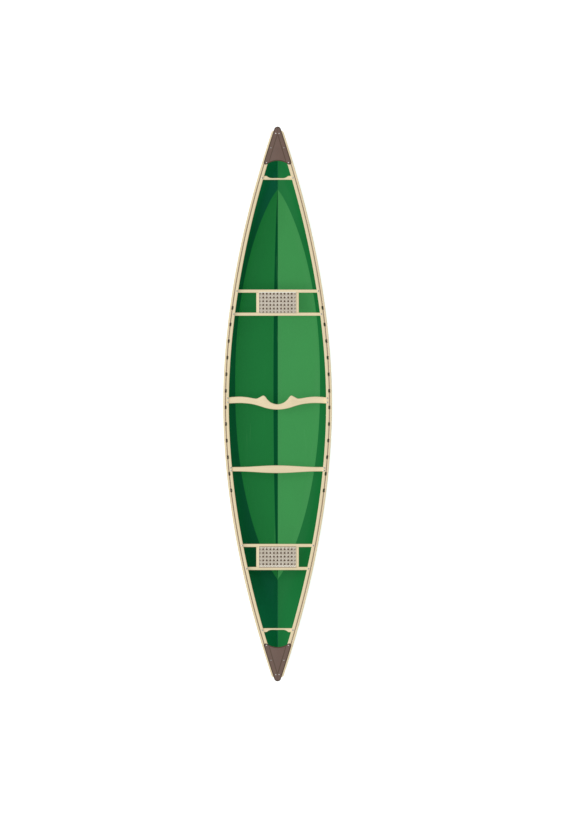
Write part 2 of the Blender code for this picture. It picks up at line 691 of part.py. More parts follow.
def make_spacer(name, x, y, top, surface):
    """The wooden drop between seat rail and inwale, bored for its bolt."""
    lean = abs(sheer_slope(y)) * SPACER_RADIUS
    low = top + TOUCH_GAP
    high = under_gunwale(y) - lean
    placement = Matrix.Translation((x, y, 0.0))
    outer = [[placement @ point for point in ring_of(SPACER_RADIUS, z, SPACER_SIDES)] for z in (low, high)]
    bore = [[placement @ point for point in ring_of(BOLT_HOLE_RADIUS, z, SPACER_SIDES)] for z in (high, low)]
    mesh_data = bmesh.new()
    add_loft(mesh_data, [outer[0], outer[1], bore[0], bore[1], outer[0]], capped=False)
    return finish_object(name, mesh_data, surface)


def bolt_plan(holder, y, grip, tilted):
    """Both bolts of a pair, as (name stem, x, y, grip, tilted)."""
    x = inboard(y, BOLT_INBOARD)
    sides = ((-1, "port"), (1, "starboard"))
    return [(f"{holder}_{word}", side * x, y, grip, tilted) for side, word in sides]


# ================================================================== the canoe
def remove_everything():
    for leftover in list(bpy.data.objects):
        bpy.data.objects.remove(leftover, do_unlink=True)


def main():
    remove_everything()
    green = material("hull_green", srgb(32, 112, 56), 0.42)
    ash = material("ash_wood", srgb(227, 211, 175), 0.45)
    deck_brown = material("deck_plastic", srgb(114, 96, 87), 0.5)
    cane = material("cane", srgb(206, 199, 182), 0.6)
    cord = material("spline_cane", srgb(200, 184, 158), 0.6)
    steel = material("stainless_steel", srgb(170, 170, 168), 0.3, 1.0)
    clear_cut = material("cutter", srgb(200, 60, 60), 0.5)

    make_hull(green)
    sides = ((-1, "port"), (1, "starboard"))
    inwales = {}
    for side, word in sides:
        make_outwale(f"outwale_{word}", side, ash)
        inwales[side] = make_inwale(f"inwale_{word}", side, ash)

    bars = {
        "portage_yoke": cross_bar("portage_yoke", YOKE_STATIONS, yoke_edges, under_gunwale,
                                  BAR_THICKNESS, ash),
        "rear_thwart": cross_bar("rear_thwart", THWART_STATIONS, thwart_edges, under_gunwale,
                                 BAR_THICKNESS, ash),
    }
    for end, word in ((1, "bow"), (-1, "stern")):
        bars[f"{word}_handle"] = cross_bar(f"{word}_carry_handle", HANDLE_STATIONS, handle_edges(end),
                                           under_gunwale, HANDLE_THICKNESS, ash, THIN_BAR_EDGE)
    for seat, rails in SEAT_RAILS.items():
        for part, rail in make_seat(seat, rails, ash, cane, cord).items():
            bars[f"{seat}_{part}"] = rail

    bolted = RAIL_DEPTH + TOUCH_GAP + BAR_THICKNESS
    plans = []
    for index, y in enumerate(YOKE_BOLTS):
        plans += [("portage_yoke", plan) for plan in bolt_plan(f"yoke_bolt_{index + 1}", y, bolted, False)]
    for index, y in enumerate(THWART_BOLTS):
        plans += [("rear_thwart", plan) for plan in bolt_plan(f"thwart_bolt_{index + 1}", y, bolted, False)]
    for end, word in ((1, "bow"), (-1, "stern")):
        grip = (RAIL_DEPTH + TOUCH_GAP + HANDLE_THICKNESS) * math.cos(math.atan(sheer_slope(HANDLE_BOLT)))
        plans += [(f"{word}_handle", plan) for plan in bolt_plan(f"{word}_handle_bolt", end * HANDLE_BOLT,
                                                                 grip, True)]
    for seat, rails in SEAT_RAILS.items():
        for part, y in zip(("front_rail", "rear_rail"), rails):
            grip = sheer(y) + RAIL_PROUD - (seat_top(seat) - BAR_THICKNESS)
            pair = bolt_plan(f"{seat}_{part[:-5]}_bolt", y, grip, False)
            plans += [(f"{seat}_{part}", plan) for plan in pair]

    holes = {}
    for bar, (name, x, y, grip, tilted) in plans:
        placement = rail_top_placement(x, y, RAIL_PROUD, tilted)
        lift = 0.0 if tilted else abs(sheer_slope(y)) * BOLT_HEAD[0]
        make_bolt(name, placement, grip, lift, steel)
        prism = drill(BOLT_HOLE_RADIUS, -grip - BOLT_HOLE_PAST, BOLT_HOLE_PAST, placement)
        holes.setdefault(bar, []).append(prism)
        holes.setdefault(math.copysign(1, x), []).append(prism)
        if "seat" in bar:
            seat = bar[:bar.index("_seat") + len("_seat")]
            make_spacer(name.replace("bolt", "spacer"), x, y, seat_top(seat), ash)

    for end, word in ((1, "bow"), (-1, "stern")):
        deck = make_deck(f"{word}_deck", end, deck_brown)
        deck_holes = []
        for index, screw_y in enumerate(DECK_SCREWS):
            for side, side_word in sides:
                x = side * inboard(screw_y, BOLT_INBOARD)
                width = half_breadth(screw_y, DECK_EDGE)
                height = RAIL_PROUD + TOUCH_GAP + DECK_PLATE + deck_crown(x / width, width)
                placement = rail_top_placement(x, end * screw_y, height + SCREW_HEAD_LIFT, True)
                make_screw(f"{word}_deck_{side_word}_screw_{index + 1}", placement, steel)
                below, above = SCREW_HOLE_PAST
                prism = drill(SCREW_HOLE_RADIUS, -SCREW_LENGTH - below, above, placement, SCREW_SIDES)
                deck_holes.append(prism)
                holes[side].append(prism)
        combine(deck, cutter(f"{word}_deck_holes", deck_holes, clear_cut), "DIFFERENCE")

    for bar, prisms in holes.items():
        if isinstance(bar, str):
            combine(bars[bar], cutter(f"{bar}_holes", prisms, clear_cut), "DIFFERENCE")
    for side, word in sides:
        prisms = holes[side] + scupper_prisms(side)
        combine(inwales[side], cutter(f"inwale_{word}_cuts", prisms, clear_cut), "DIFFERENCE")


main()
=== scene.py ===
"""The looks of a sixteen foot tandem canoe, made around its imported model.

Frame: +Y points to the bow, +X to starboard, +Z up, in metres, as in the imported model. The hull, the
gunwales, the decks, the bars and the seats are made again as fine surfaces from the same curves.
"""
import math
import random

import bmesh
import bpy
from mathutils import Matrix, Vector


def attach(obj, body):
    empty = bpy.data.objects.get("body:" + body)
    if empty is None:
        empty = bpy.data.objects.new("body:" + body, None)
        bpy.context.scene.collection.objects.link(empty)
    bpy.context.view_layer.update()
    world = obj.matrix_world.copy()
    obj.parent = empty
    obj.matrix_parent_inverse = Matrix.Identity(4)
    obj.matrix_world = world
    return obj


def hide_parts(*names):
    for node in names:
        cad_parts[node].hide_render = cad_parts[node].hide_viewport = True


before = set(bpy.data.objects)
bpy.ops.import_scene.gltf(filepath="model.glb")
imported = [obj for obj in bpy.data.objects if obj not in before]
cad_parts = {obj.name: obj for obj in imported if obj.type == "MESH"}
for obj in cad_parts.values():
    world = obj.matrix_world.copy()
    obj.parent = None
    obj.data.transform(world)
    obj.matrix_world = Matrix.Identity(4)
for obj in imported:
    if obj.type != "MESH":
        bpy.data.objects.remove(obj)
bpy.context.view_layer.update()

ROOT = "root"
SIDES = ((-1, "port"), (1, "starboard"))
ENDS = ((1, "bow"), (-1, "stern"))

# ------------------------------------------------------------------ the canoe's driving dimensions
LENGTH = 4.877
DEPTH_AMIDSHIPS = 0.368
DEPTH_RISE = 0.185
SHEER_POWER = 3.2
ROCKER = 0.055
ROCKER_POWER = 4.0
GAP = 0.0003                        # air between neighbours that touch

# the plan over the outwales, with a round nose at each end
PLAN_HALF_BREADTH = 0.4803
PLAN_REACH = 2.5525
PLAN_POWER = 1.9095
PLAN_TIP_POWER = 1.0269
NOSE_CENTRE = 2.4077
NOSE_EDGE_RADIUS = 0.0453

# the plan of the flat panel in the hull's bottom
FLOOR_HALF_WIDTH = 0.3749
FLOOR_CENTRE = 0.1743
FLOOR_REACH = 1.7210
FLOOR_POWER = 2.2155
FLOOR_TIP_POWER = 0.8289

# the hull's sections
SKIN = 0.008
STEM_HALF_WIDTH = 0.014
STEM_CORE = 0.004
FOREFOOT = 2.014
STEM_POWER = 2.2
DEADRISE = 0.19
KEEL_STRIP = 0.05
KEEL_CREASE = 0.09
KEEL_SHADE_PART = 0.10                       # painted shade: the dark strip beside the keel line on the port side, as a part of the half-width
KEEL_STEP = 0.030
KEEL_BLUR = 0.008                   # eases the keel strip's corners
KEEL_PARTS = [0.0, 0.015, 0.03, 0.042, 0.05, 0.058, 0.07, 0.082, 0.09, 0.098, 0.11]   # rows near the keel
CHINE_LEG = 0.050
CHINE_LEG_TAPER = 0.76
CHINE_LEG_POWER = 8
FLARE_MIDDLE = 3.0
FLARE_ENDS = 2.0
FLARE_FADE = 6
RIM = ((0.09, 0.66), (0.3, 0.3), (0.7, 0.3), (0.91, 0.66))   # rows across it, and how green each is
RIM_DROP = 0.0007                   # rounds the rim's two corners

# the gunwales and the inwales' drain slots
OUTWALE_WIDTH = 0.018
INWALE_WIDTH = 0.026
INWALE_OUTER = OUTWALE_WIDTH + SKIN
INWALE_INNER = INWALE_OUTER + INWALE_WIDTH
RAIL_PROUD = 0.0015
RAIL_DEPTH = 0.024
RAIL_BOTTOM = RAIL_PROUD - RAIL_DEPTH
OUTWALE_END = 2.403
OUTWALE_END_ROUNDING = OUTWALE_WIDTH - 0.002
OUTWALE_CORNERS = (0.0035, 0.001, 0.001, 0.0035)
INWALE_END = 2.392
INWALE_CORNERS = (0.0008, 0.004, 0.004, 0.0008)
INWALE_LEAN = 0.0010
SCUPPER_COUNT = 12
SCUPPER_FIRST = 0.8469
SCUPPER_PITCH = 0.1462
SCUPPER_HALF_LENGTH = 0.016
SCUPPER_DEPTH = 0.006
SCUPPER_ROUNDING = 0.6
SCUPPER_PARTS = (0.0, 0.5, 0.75, 0.9, 0.97, 0.995, 1.01)   # where a slot's sections stand
SCUPPER_YS = [SCUPPER_FIRST - SCUPPER_PITCH * index for index in range(SCUPPER_COUNT)]
SEAM_STRIP = (0.0142, 0.0180)       # the outwale's inner edge, which gets the slots' painted shade beside them
SLOT_FOOT = 0.15                    # the slots narrow to this part of their depth at the bottom
SLOT_REACH = 0.0015                 # points this near the inwale's outer face follow the slots
SLOT_SHADE_REACH = 0.0007                # and points this near get the slots' painted shade
SLOT_SHADE_COLOUR = "47302e"                    # painted shade: the dark brown that stands for the shade in the drain slots

# the decks; y is that of the bow deck
DECK_EDGE = 0.0145
DECK_PLATE = 0.004
DECK_ROUNDING = 0.0022
DECK_ROWS = 46                      # from its rear edge to the start of its nose
DECK_ROW_POWER = 1.35               # they are closer together at the rear
DECK_NOSE_ROWS = 12
DECK_TIP_CUT = 0.0002               # keeps the last row from being a point
DECK_CROWN = 0.008
DECK_CROWN_WIDTH = 0.62
DECK_REAR_APEX = 2.139
DECK_REAR_RADIUS = 0.164
DECK_CORNER = (0.104, 2.1244)
DECK_CORNER_RADIUS = 0.018
DECK_CORNER_START = 0.094
DECK_FADE = 0.120
SKIRT_START = 2.4045
SKIRT_DEPTH = 0.027
SKIRT_FACES = (DECK_EDGE + 0.0003, OUTWALE_WIDTH - 0.0006)   # its outer and inner face
SKIRT_OVERLAP = 0.002               # how far it reaches up into the deck
SKIRT_BEVEL = 0.001
SKIRT_STEPS = 14                    # on each side of the tip
CREASE_APEX = 2.379                 # where the deck's two creases meet
CREASE_END = 2.370                  # no crease is drawn beyond it
CREASE_SLOPE = 0.30                 # how fast they spread towards the rear
CREASE_LEAST = 0.06                 # least part of the half-width
CREASE_HALF_WIDTH = 0.0032
CREASE_DEPTH = 0.0013
LIP_RADIUS = 0.005
LIP_DROP = 0.006
LIP_REACH = (0.068, 0.080)          # the rolled lip fades out between these half-widths
LIP_TURNS = ((22, 0.0), (45, 0.0), (68, 0.0), (90, 0.0), (90, LIP_DROP))   # degrees and straight drop
LIP_DARK_FROM = 68                  # degrees at which the lip has its full painted shade

# the yoke, the thwart and the handles; their outlines are (x, y)
BAR_TOP = RAIL_BOTTOM - GAP
BAR_THICKNESS = 0.020
BAR_END_GAP = 0.0015
BAR_END_ROOM = 0.006                # a bar's last straight section is this far from the hull
BAR_ROUNDING = 0.0072
BAR_STEP = 0.012                    # between the sections of a plain bar
YOKE_STEP = 0.004
HANDLE_STEP = 0.003
YOKE_FRONT = ((0.000, -0.002), (0.053, 0.0115), (0.088, 0.0396), (0.106, 0.0643), (0.123, 0.0748),
              (0.141, 0.0678), (0.176, 0.0502), (0.194, 0.0484), (0.264, 0.0599), (0.335, 0.0654),
              (0.445, 0.0580))
YOKE_REAR = ((0.000, -0.0498), (0.053, -0.0461), (0.106, -0.0350), (0.158, -0.0182), (0.211, -0.0040),
             (0.264, 0.0040), (0.335, 0.0079), (0.445, 0.0035))
YOKE_BOLTS = (0.051, 0.014)
THWART_CENTRE = -0.575
THWART_END_HALF_WIDTH = 0.020
THWART_SWELL = 0.0143
THWART_SWELL_REACH = 0.36
THWART_BOLTS = (THWART_CENTRE + 0.012, THWART_CENTRE - 0.012)
HANDLE_INBOARD = 1.9735
HANDLE_OUTBOARD = ((0.000, 1.9895), (0.055, 1.9895), (0.075, 1.9950), (0.095, 2.0075), (0.112, 2.0090),
                   (0.150, 2.0090))
HANDLE_THICKNESS = 0.016
HANDLE_ROUNDING = 0.0055
HANDLE_BOLT = 1.9912

# the seats
SEAT_RAILS = {"bow_seat": (0.9954, 0.7922), "stern_seat": (-1.2473, -1.4503)}
SEAT_RAIL_HALF_WIDTH = 0.014
SEAT_RAIL_ROUNDING = 0.0042
SEAT_DROP = {"bow_seat": 0.045, "stern_seat": 0.028}
SIDE_BAR = (0.1505, 0.1875)         # x of its two faces
SIDE_BAR_ROUNDING = 0.002
CANE_HALF_LENGTH = 0.1585
SPLINE_WIDTH = 0.008
SPLINE_HEIGHT = 0.004
REED_TONES = {"bow_seat": (1.0, 0.3, 0.3), "stern_seat": (0.0, 0.0, 0.3)}   # pale: front, rear, sides
SPACER_RADIUS = 0.0095
SPACER_BORE = 0.0035
SPACER_EDGE = 0.0008

# fasteners; a head, a washer and a nut are (radius, height)
BOLT_RADIUS = 0.003
BOLT_HEAD = (0.007, 0.003)
WASHER = (0.008, 0.0015)
WASHER_EDGE = 0.0003
NUT = (0.006, 0.005)
NUT_EDGE = 0.0006
BOLT_INBOARD = 0.0405
SCREW_RADIUS = 0.002
SCREW_HEAD = (0.005, 0.0025)
SCREW_LENGTH = 0.016
SCREW_HEAD_LIFT = 0.0007
DECK_SCREWS = (2.123, 2.3795)       # y of the corner screw and the tip screw
MIDDLE_SCREW = (0.057, 2.254)       # x and y
RAIL_SCREW_RINGS = ((0.0046, -0.0008), (0.0046, 0.0002), (0.0040, 0.0009), (0.0026, 0.0014),
                    (0.0014, 0.0015), (0.0010, 0.0003))   # radius and height over the inwale's face
RAIL_SCREWS_END = 1.93
RAIL_SCREW_ROOM = 0.02              # none is nearer to a seat rail

# ------------------------------------------------------------------ the cane's weave
CANE_PITCH = (0.0315, 0.03275)      # between pairs of strands, in x and in y
CANE_SHIFT = {"bow_seat": -0.0042, "stern_seat": -0.0138}   # y of a pair from the seat's middle
CANE_ROOM = 0.0005                  # between the weave's ends and the reed
CANE_BAND = 0.074                   # the stern seat's cross strands past this are pale
STRAND_WIDTH = 0.0072
STRAND_OFFSET = 0.0042              # from a pair's centre to each of its strands
STRAND_WAVE = 0.0009
STRAND_THICKNESS = 0.0010
DIAGONAL_WIDTH = 0.0057
DIAGONAL_WAVE = 0.0012
WEAVE_LIFT = 0.0022                 # the weave's middle over the seat's wood
WEAVE_SEED = {"bow_seat": 7, "stern_seat": 11}   # for the strands' tones
STRAND_STEPS = 4                    # from one crossing to the next
DIAGONAL_LEAST = 0.012              # shorter ones in the corners are left out
# a dark sheet under the cane: painted shade seen through the weave's holes
HOLE_SHADE_DROP = 0.0030
HOLE_SHADE_ROOM = (0.0006, 0.0004)     # between the shade sheet's edges and the wood, in x and y
HOLE_SHADE_EDGE = (0.0001, 0.0004)     # heights of the shade sheet's strips on the side bars
HOLE_SHADE_SAG = 0.0012
HOLE_SHADE_THICKNESS = 0.0008

# ------------------------------------------------------------------ the camera and the lights
CAMERA_AT = (0.092, -0.031)
VIEW_HEIGHT = 7.1818                # what the picture takes in at the gunwales, from top to bottom
LENS = 400.0
SENSOR = 36.0
SUN_ANGLE = 50.0                    # from the vertical, on the port side
SUN_SIZE = 6.0                      # degrees across
SUN_STRENGTH = 2.2
PANEL_AT = (-3.0, 0.0, 9.0)
PANEL_ANGLE = 18.4                  # from the vertical, as PANEL_AT gives it
PANEL_TARGET = (0.0, 0.0, 0.2)
PANEL_SIZE = (4.0, 8.0)
PANEL_STRENGTH = 250.0
FILL_STRENGTH = 0.26
STAGE_GLOW = 0.42
STAGE_HALF_SIZE = 40.0
STAGE_DROP = 0.002                  # the stage's floor lies this far under the keel

# what each light gives to a face that looks straight at it, for studio_light()
FILL_SHARE = 0.26
FILL_LOSS = 0.10                    # a face that looks up gets less from the floor
LIGHT_SHARES = ((SUN_ANGLE, 0.70), (PANEL_ANGLE, 0.28))


# ================================================================== curves of the canoe
def sheer(y):
    """Height of the hull's rim."""
    return DEPTH_AMIDSHIPS + DEPTH_RISE * abs(2 * y / LENGTH) ** SHEER_POWER


def sheer_slope(y):
    """Its rise per metre towards the bow."""
    rise = DEPTH_RISE * SHEER_POWER * abs(2 * y / LENGTH) ** (SHEER_POWER - 1) * 2 / LENGTH
    return math.copysign(rise, y)


def plan_edge(y):
    """Half-breadth over the outwales."""
    return PLAN_HALF_BREADTH * (1 - abs(y / PLAN_REACH) ** PLAN_POWER) ** PLAN_TIP_POWER


def plan_angle(y):
    """Angle between the outwale and the centreline."""
    ratio = abs(y) / PLAN_REACH
    slope = (PLAN_HALF_BREADTH * PLAN_TIP_POWER * (1 - ratio ** PLAN_POWER) ** (PLAN_TIP_POWER - 1)
             * PLAN_POWER * ratio ** (PLAN_POWER - 1) / PLAN_REACH)
    return math.atan(slope)


def inboard(y, distance):
    """Half-breadth of the line that runs a distance inboard of the outwale's outer face."""
    return plan_edge(y) - distance / math.cos(plan_angle(y))


def nose_radius(distance):
    return NOSE_EDGE_RADIUS - distance


def nose_start(distance):
    return NOSE_CENTRE + nose_radius(distance) * math.sin(plan_angle(NOSE_CENTRE))


def nose_tip(distance):
    return NOSE_CENTRE + nose_radius(distance)


def half_breadth(y, distance):
    """As inboard(), and rounded at the noses."""
    if abs(y) <= nose_start(distance):
        return inboard(y, distance)
    forward = abs(y) - NOSE_CENTRE
    return math.sqrt(max(nose_radius(distance) ** 2 - forward ** 2, 0.0))


def nose_ys(distance, steps):
    """The y values that step round the nose, from its start to its tip."""
    radius = nose_radius(distance)
    first = plan_angle(NOSE_CENTRE)
    angles = [first + (math.pi / 2 - first) * step / steps for step in range(1, steps + 1)]
    return [NOSE_CENTRE + radius * math.sin(angle) for angle in angles]


def panel_half_width(y):
    """Half-width of the flat bottom panel, which ends in a point at each end."""
    ratio = min(abs((y - FLOOR_CENTRE) / FLOOR_REACH), 1.0)
    return FLOOR_HALF_WIDTH * (1 - ratio ** FLOOR_POWER) ** FLOOR_TIP_POWER


def smooth_curve(points, x):
    """A smooth curve through the points, level at the first one, read at x."""
    for index in range(len(points) - 1):
        if x <= points[index + 1][0]:
            break
    (x0, y0), (x1, y1) = points[index], points[index + 1]
    before = points[index - 1] if index else (-x1, y1)
    after = points[index + 2] if index + 2 < len(points) else points[index + 1]
    span = x1 - x0
    slope0 = (y1 - before[1]) / (x1 - before[0])
    slope1 = (after[1] - y0) / (after[0] - x0)
    t = (x - x0) / span
    return ((2 * t**3 - 3 * t**2 + 1) * y0 + (t**3 - 2 * t**2 + t) * span * slope0
            + (3 * t**2 - 2 * t**3) * y1 + (t**3 - t**2) * span * slope1)


def ease(t):
    """From 0 to 1 without a corner at either end."""
    t = max(0.0, min(1.0, t))
    return t * t * (3 - 2 * t)


def mirrored(points):
    """The points on the other side of the canoe."""
    return [Vector((-point.x, point.y, point.z)) for point in points]


class HullFrame:
    """The cross section of the hull at one station, from -1 at the stern to 1 at the bow."""

    def __init__(self, station, inset):
        self.station = station
        self.inset = inset
        gunwale = OUTWALE_WIDTH + inset
        top_y = station * nose_tip(gunwale)
        foot_y = station * (FOREFOOT - inset)
        self.breadth = half_breadth(top_y, gunwale)
        nose = self.breadth / inboard(top_y, gunwale)
        bottom = math.hypot(panel_half_width(foot_y), STEM_HALF_WIDTH)
        self.chine = max(bottom - inset, STEM_CORE) * nose
        self.keel_z = ROCKER * abs(station) ** ROCKER_POWER + inset
        self.chine_z = self.keel_z + self.chine * (KEEL_STEP + DEADRISE)
        self.top_z = sheer(top_y)
        self.flare = FLARE_MIDDLE + (FLARE_ENDS - FLARE_MIDDLE) * abs(station) ** FLARE_FADE
        self.leg = CHINE_LEG * (1 - CHINE_LEG_TAPER * abs(station) ** CHINE_LEG_POWER)

    def reach(self, height):
        """How far from the middle the stem is, at a height from 0 at the chine to 1 at the rim."""
        stem = (1 - max(1 - height, 0.0) ** STEM_POWER) ** (1 / STEM_POWER)
        return FOREFOOT + (nose_tip(OUTWALE_WIDTH) - FOREFOOT) * stem - self.inset

    def rise(self, part):
        """Rise of the bottom over the keel, as a part of its half-width."""
        part = abs(part)
        strip = 0.0 if self.inset else KEEL_STRIP
        if part > KEEL_CREASE:
            return KEEL_STEP + DEADRISE * part
        return (KEEL_STEP + DEADRISE * KEEL_CREASE) * max(part - strip, 0.0) / (KEEL_CREASE - strip)

    def bottom(self, part):
        """Point of the bottom, from 0 on the centreline to 1 at the chine, with eased corners."""
        rise = (self.rise(part - KEEL_BLUR) + self.rise(part + KEEL_BLUR) + 2 * self.rise(part)) / 4
        return Vector((self.chine * part, self.station * self.reach(0.0), self.keel_z + self.chine * rise))

    def side(self, height):
        """Point of the side, from 0 at the chine to 1 at the rim."""
        flare = 1 - max(1 - height, 0.0) ** self.flare
        return Vector((self.chine + (self.breadth - self.chine) * flare,
                       self.station * self.reach(height),
                       self.chine_z + (self.top_z - self.chine_z) * height))

    def rounding_ends(self):
        """Where the chine's rounding meets the bottom and the side."""
        bottom_part = 1 - min(self.leg / max(self.chine, self.leg * 2), 0.5)
        return bottom_part, self.leg / (self.top_z - self.chine_z)

    def rounding(self, t):
        bottom_part, side_height = self.rounding_ends()
        start, corner, end = self.bottom(bottom_part), self.bottom(1.0), self.side(side_height)
        return start * (1 - t) ** 2 + corner * 2 * t * (1 - t) + end * t**2


def hull_x(y, z):
    """Half-breadth of the hull's inside at a y and a height above the chine."""
    station = y / LENGTH * 2
    for _ in range(12):
        section = HullFrame(max(-1.0, min(1.0, station)), SKIN)
        height = (z - section.chine_z) / (section.top_z - section.chine_z)
        height = max(0.0, min(1.0, height))
        station = y / section.reach(height)
    return section.side(height).x


def hull_stations(count, nose_steps):
    """Stations from stern to bow, closer together towards the noses."""
    tip = nose_tip(OUTWALE_WIDTH)
    first = nose_start(OUTWALE_WIDTH) / tip
    half = [first * (0.75 * k / count + 0.25 * math.sin(math.pi / 2 * k / count)) for k in range(count + 1)]
    half += [y / tip for y in nose_ys(OUTWALE_WIDTH, nose_steps)]
    return [-station for station in reversed(half[1:])] + half


# ================================================================== materials
def srgb(code):
    """Linear colour from a display colour written in hexadecimal."""
    channels = [int(code[index:index + 2], 16) / 255 for index in (0, 2, 4)]
    return [c / 12.92 if c <= 0.04045 else ((c + 0.055) / 1.055) ** 2.4 for c in channels] + [1.0]


def scaled(colour, factor):
    return [min(channel * factor, 1.0) for channel in colour[:3]] + [1.0]


class Surface:
    """A material and short calls for the nodes that shape it."""

    def __init__(self, name, colour):
        self.material = bpy.data.materials.new(name)
        self.material.use_nodes = True
        self.nodes = self.material.node_tree.nodes
        self.links = self.material.node_tree.links
        self.shader = self.nodes["Principled BSDF"]
        self.material.diffuse_color = colour

    def feed(self, socket, value):
        if isinstance(value, bpy.types.NodeSocket):
            self.links.new(value, socket)
        else:
            socket.default_value = value

    def add(self, kind, inputs=(), **settings):
        node = self.nodes.new(kind)
        for key, value in settings.items():
            setattr(node, key, value)
        for key, value in dict(inputs).items():
            self.feed(node.inputs[key], value)
        return node

    def parts(self, vector):
        return self.add("ShaderNodeSeparateXYZ", {0: vector}).outputs

    def coordinates(self, kind="Object"):
        return self.add("ShaderNodeTexCoord").outputs[kind]

    def attribute(self, name):
        return self.add("ShaderNodeAttribute", attribute_name=name).outputs["Fac"]

    def chance(self):
        """A number of its own for each object."""
        return self.add("ShaderNodeObjectInfo").outputs["Random"]

    def stretch(self, vector, scale):
        return self.add("ShaderNodeMapping", {"Vector": vector, "Scale": scale}).outputs[0]

    def noise(self, vector, scale, detail, rough):
        """A noise at one scale, or at a scale for each direction."""
        if isinstance(scale, tuple):
            vector = self.stretch(vector, scale)
            scale = 1.0
        inputs = {"Vector": vector, "Scale": scale, "Detail": detail, "Roughness": rough}
        return self.add("ShaderNodeTexNoise", inputs).outputs[0]

    def cells(self, vector, scale, feature="F1"):
        inputs = {"Vector": vector, "Scale": scale}
        return self.add("ShaderNodeTexVoronoi", inputs, feature=feature).outputs[0]

    def maths(self, operation, first, second=0.0):
        node = self.add("ShaderNodeMath", operation=operation)
        self.feed(node.inputs[0], first)
        self.feed(node.inputs[1], second)
        return node.outputs[0]

    def plus(self, first, second):
        return self.maths("ADD", first, second)

    def times(self, first, second):
        return self.maths("MULTIPLY", first, second)

    def fit(self, value, low, high, to_low=0.0, to_high=1.0):
        """Map a range of values to another one, held at its ends."""
        return self.add("ShaderNodeMapRange", {"Value": value, "From Min": low, "From Max": high,
                                               "To Min": to_low, "To Max": to_high}).outputs[0]

    def spread(self, noise, low, high):
        """Map a noise, which mostly keeps between 0.3 and 0.7, to a range."""
        return self.fit(noise, 0.3, 0.7, low, high)

    def mix(self, factor, first, second, blend="MIX"):
        node = self.add("ShaderNodeMix", data_type="RGBA", blend_type=blend)
        self.feed(node.inputs[0], factor)
        self.feed(node.inputs[6], first)
        self.feed(node.inputs[7], second)
        return node.outputs[2]

    def shade(self, colour, factor):
        """Multiply a colour by a number."""
        grey = self.add("ShaderNodeCombineColor", {0: factor, 1: factor, 2: factor}).outputs[0]
        return self.mix(1.0, colour, grey, "MULTIPLY")

    def vary(self, colour, noise, low, high):
        """Multiply a colour by a noise that is spread between two numbers."""
        return self.shade(colour, self.spread(noise, low, high))

    def bump(self, height, strength, distance):
        return self.add("ShaderNodeBump", {"Height": height, "Strength": strength,
                                           "Distance": distance}).outputs[0]

    def finish(self, colour, roughness, normal=None, metallic=0.0, specular=0.5, coat=0.0):
        self.feed(self.shader.inputs["Base Color"], colour)
        self.feed(self.shader.inputs["Roughness"], roughness)
        self.shader.inputs["Metallic"].default_value = metallic
        self.shader.inputs["Specular IOR Level"].default_value = specular
        self.shader.inputs["Coat Weight"].default_value = coat
        self.shader.inputs["Coat Roughness"].default_value = 0.25
        if normal is not None:
            self.links.new(normal, self.shader.inputs["Normal"])
        return self.material


def studio_light(s):
    """How much of the studio's light reaches a face, from the way that it looks."""
    x, _, z = s.parts(s.add("ShaderNodeNewGeometry").outputs["Normal"])
    total = s.plus(s.times(z, -FILL_LOSS), FILL_SHARE)
    for tilt, share in LIGHT_SHARES:
        side = s.times(x, -math.sin(math.radians(tilt)))
        faced = s.plus(side, s.times(z, math.cos(math.radians(tilt))))
        total = s.plus(total, s.times(s.maths("MAXIMUM", faced, 0.0), share))
    return total


def evened(s, colour, level, least=0.0):
    """The colour times level over the light that its face gets, which counts as least or more."""
    return s.shade(colour, s.maths("DIVIDE", level, s.maths("MAXIMUM", studio_light(s), least)))


def make_inner_skin():
    """The moulded inside in flat greens of painted light and shade: the walls painted darker than the
    bottom panel, the port side painted darker than the starboard side, a strip of painted shade beside the
    keel, the ends under the decks painted lighter, and every face evened against the studio's light; with
    lighter scuffs on the panel and a fine pebble.
    """
    s = Surface("hull_inside", srgb("207038"))
    place = s.coordinates()
    panel = s.fit(s.attribute("panel"), -0.0008, 0.0008)
    crease = s.fit(s.attribute("crease"), -0.0010, 0.0010)
    port = s.fit(s.attribute("across"), 0.0010, 0.0028, 1.0, 0.0)
    ends = s.fit(s.maths("ABSOLUTE", s.parts(place)[1]), 1.45, 2.05)
    # each pair of colours is that of the starboard side and that of the port side, which is painted darker
    # as the side in shade; the walls are painted darker than the panel as painted shade
    wall = s.mix(port, [0.0080, 0.1534, 0.0345, 1.0], [0.0026, 0.0700, 0.0262, 1.0])
    painted_light_ends = s.mix(port, [0.0155, 0.2000, 0.0520, 1.0], [0.0046, 0.1000, 0.0520, 1.0])
    # painted light: the walls are made lighter towards the ends, where the decks shade them
    wall = s.mix(ends, wall, painted_light_ends)
    floor = s.mix(port, [0.0464, 0.2724, 0.0737, 1.0], [0.0122, 0.1598, 0.0373, 1.0])
    colour = s.mix(panel, wall, floor)
    # painted shade: a dark strip beside the keel on the port side
    keel_shade = s.times(s.times(crease, port), panel)
    colour = s.mix(keel_shade, colour, [0.0010, 0.0663, 0.0220, 1.0])
    cloudy = s.noise(place, 2.2, 4.0, 0.55)
    colour = s.vary(colour, cloudy, 0.97, 1.03)
    fine = s.noise(place, 140.0, 3.0, 0.6)
    colour = s.vary(colour, fine, 0.96, 1.04)
    scratches = s.fit(s.noise(place, (46.0, 1.4, 46.0), 5.0, 0.62), 0.63, 0.72, 0.0, 0.16)
    scuffs = s.times(scratches, panel)
    colour = s.mix(scuffs, colour, [0.1150, 0.3700, 0.1500, 1.0])
    # painted light and shade: the colour is divided by the light that each face gets, so that the tones
    # stay flat
    colour = evened(s, colour, 1.0)
    pebble = s.cells(place, 420.0)
    height = s.plus(pebble, s.times(scratches, -0.8))
    roughness = s.spread(cloudy, 0.55, 0.66)
    return s.finish(colour, roughness, s.bump(height, 0.12, 0.0006), specular=0.06)


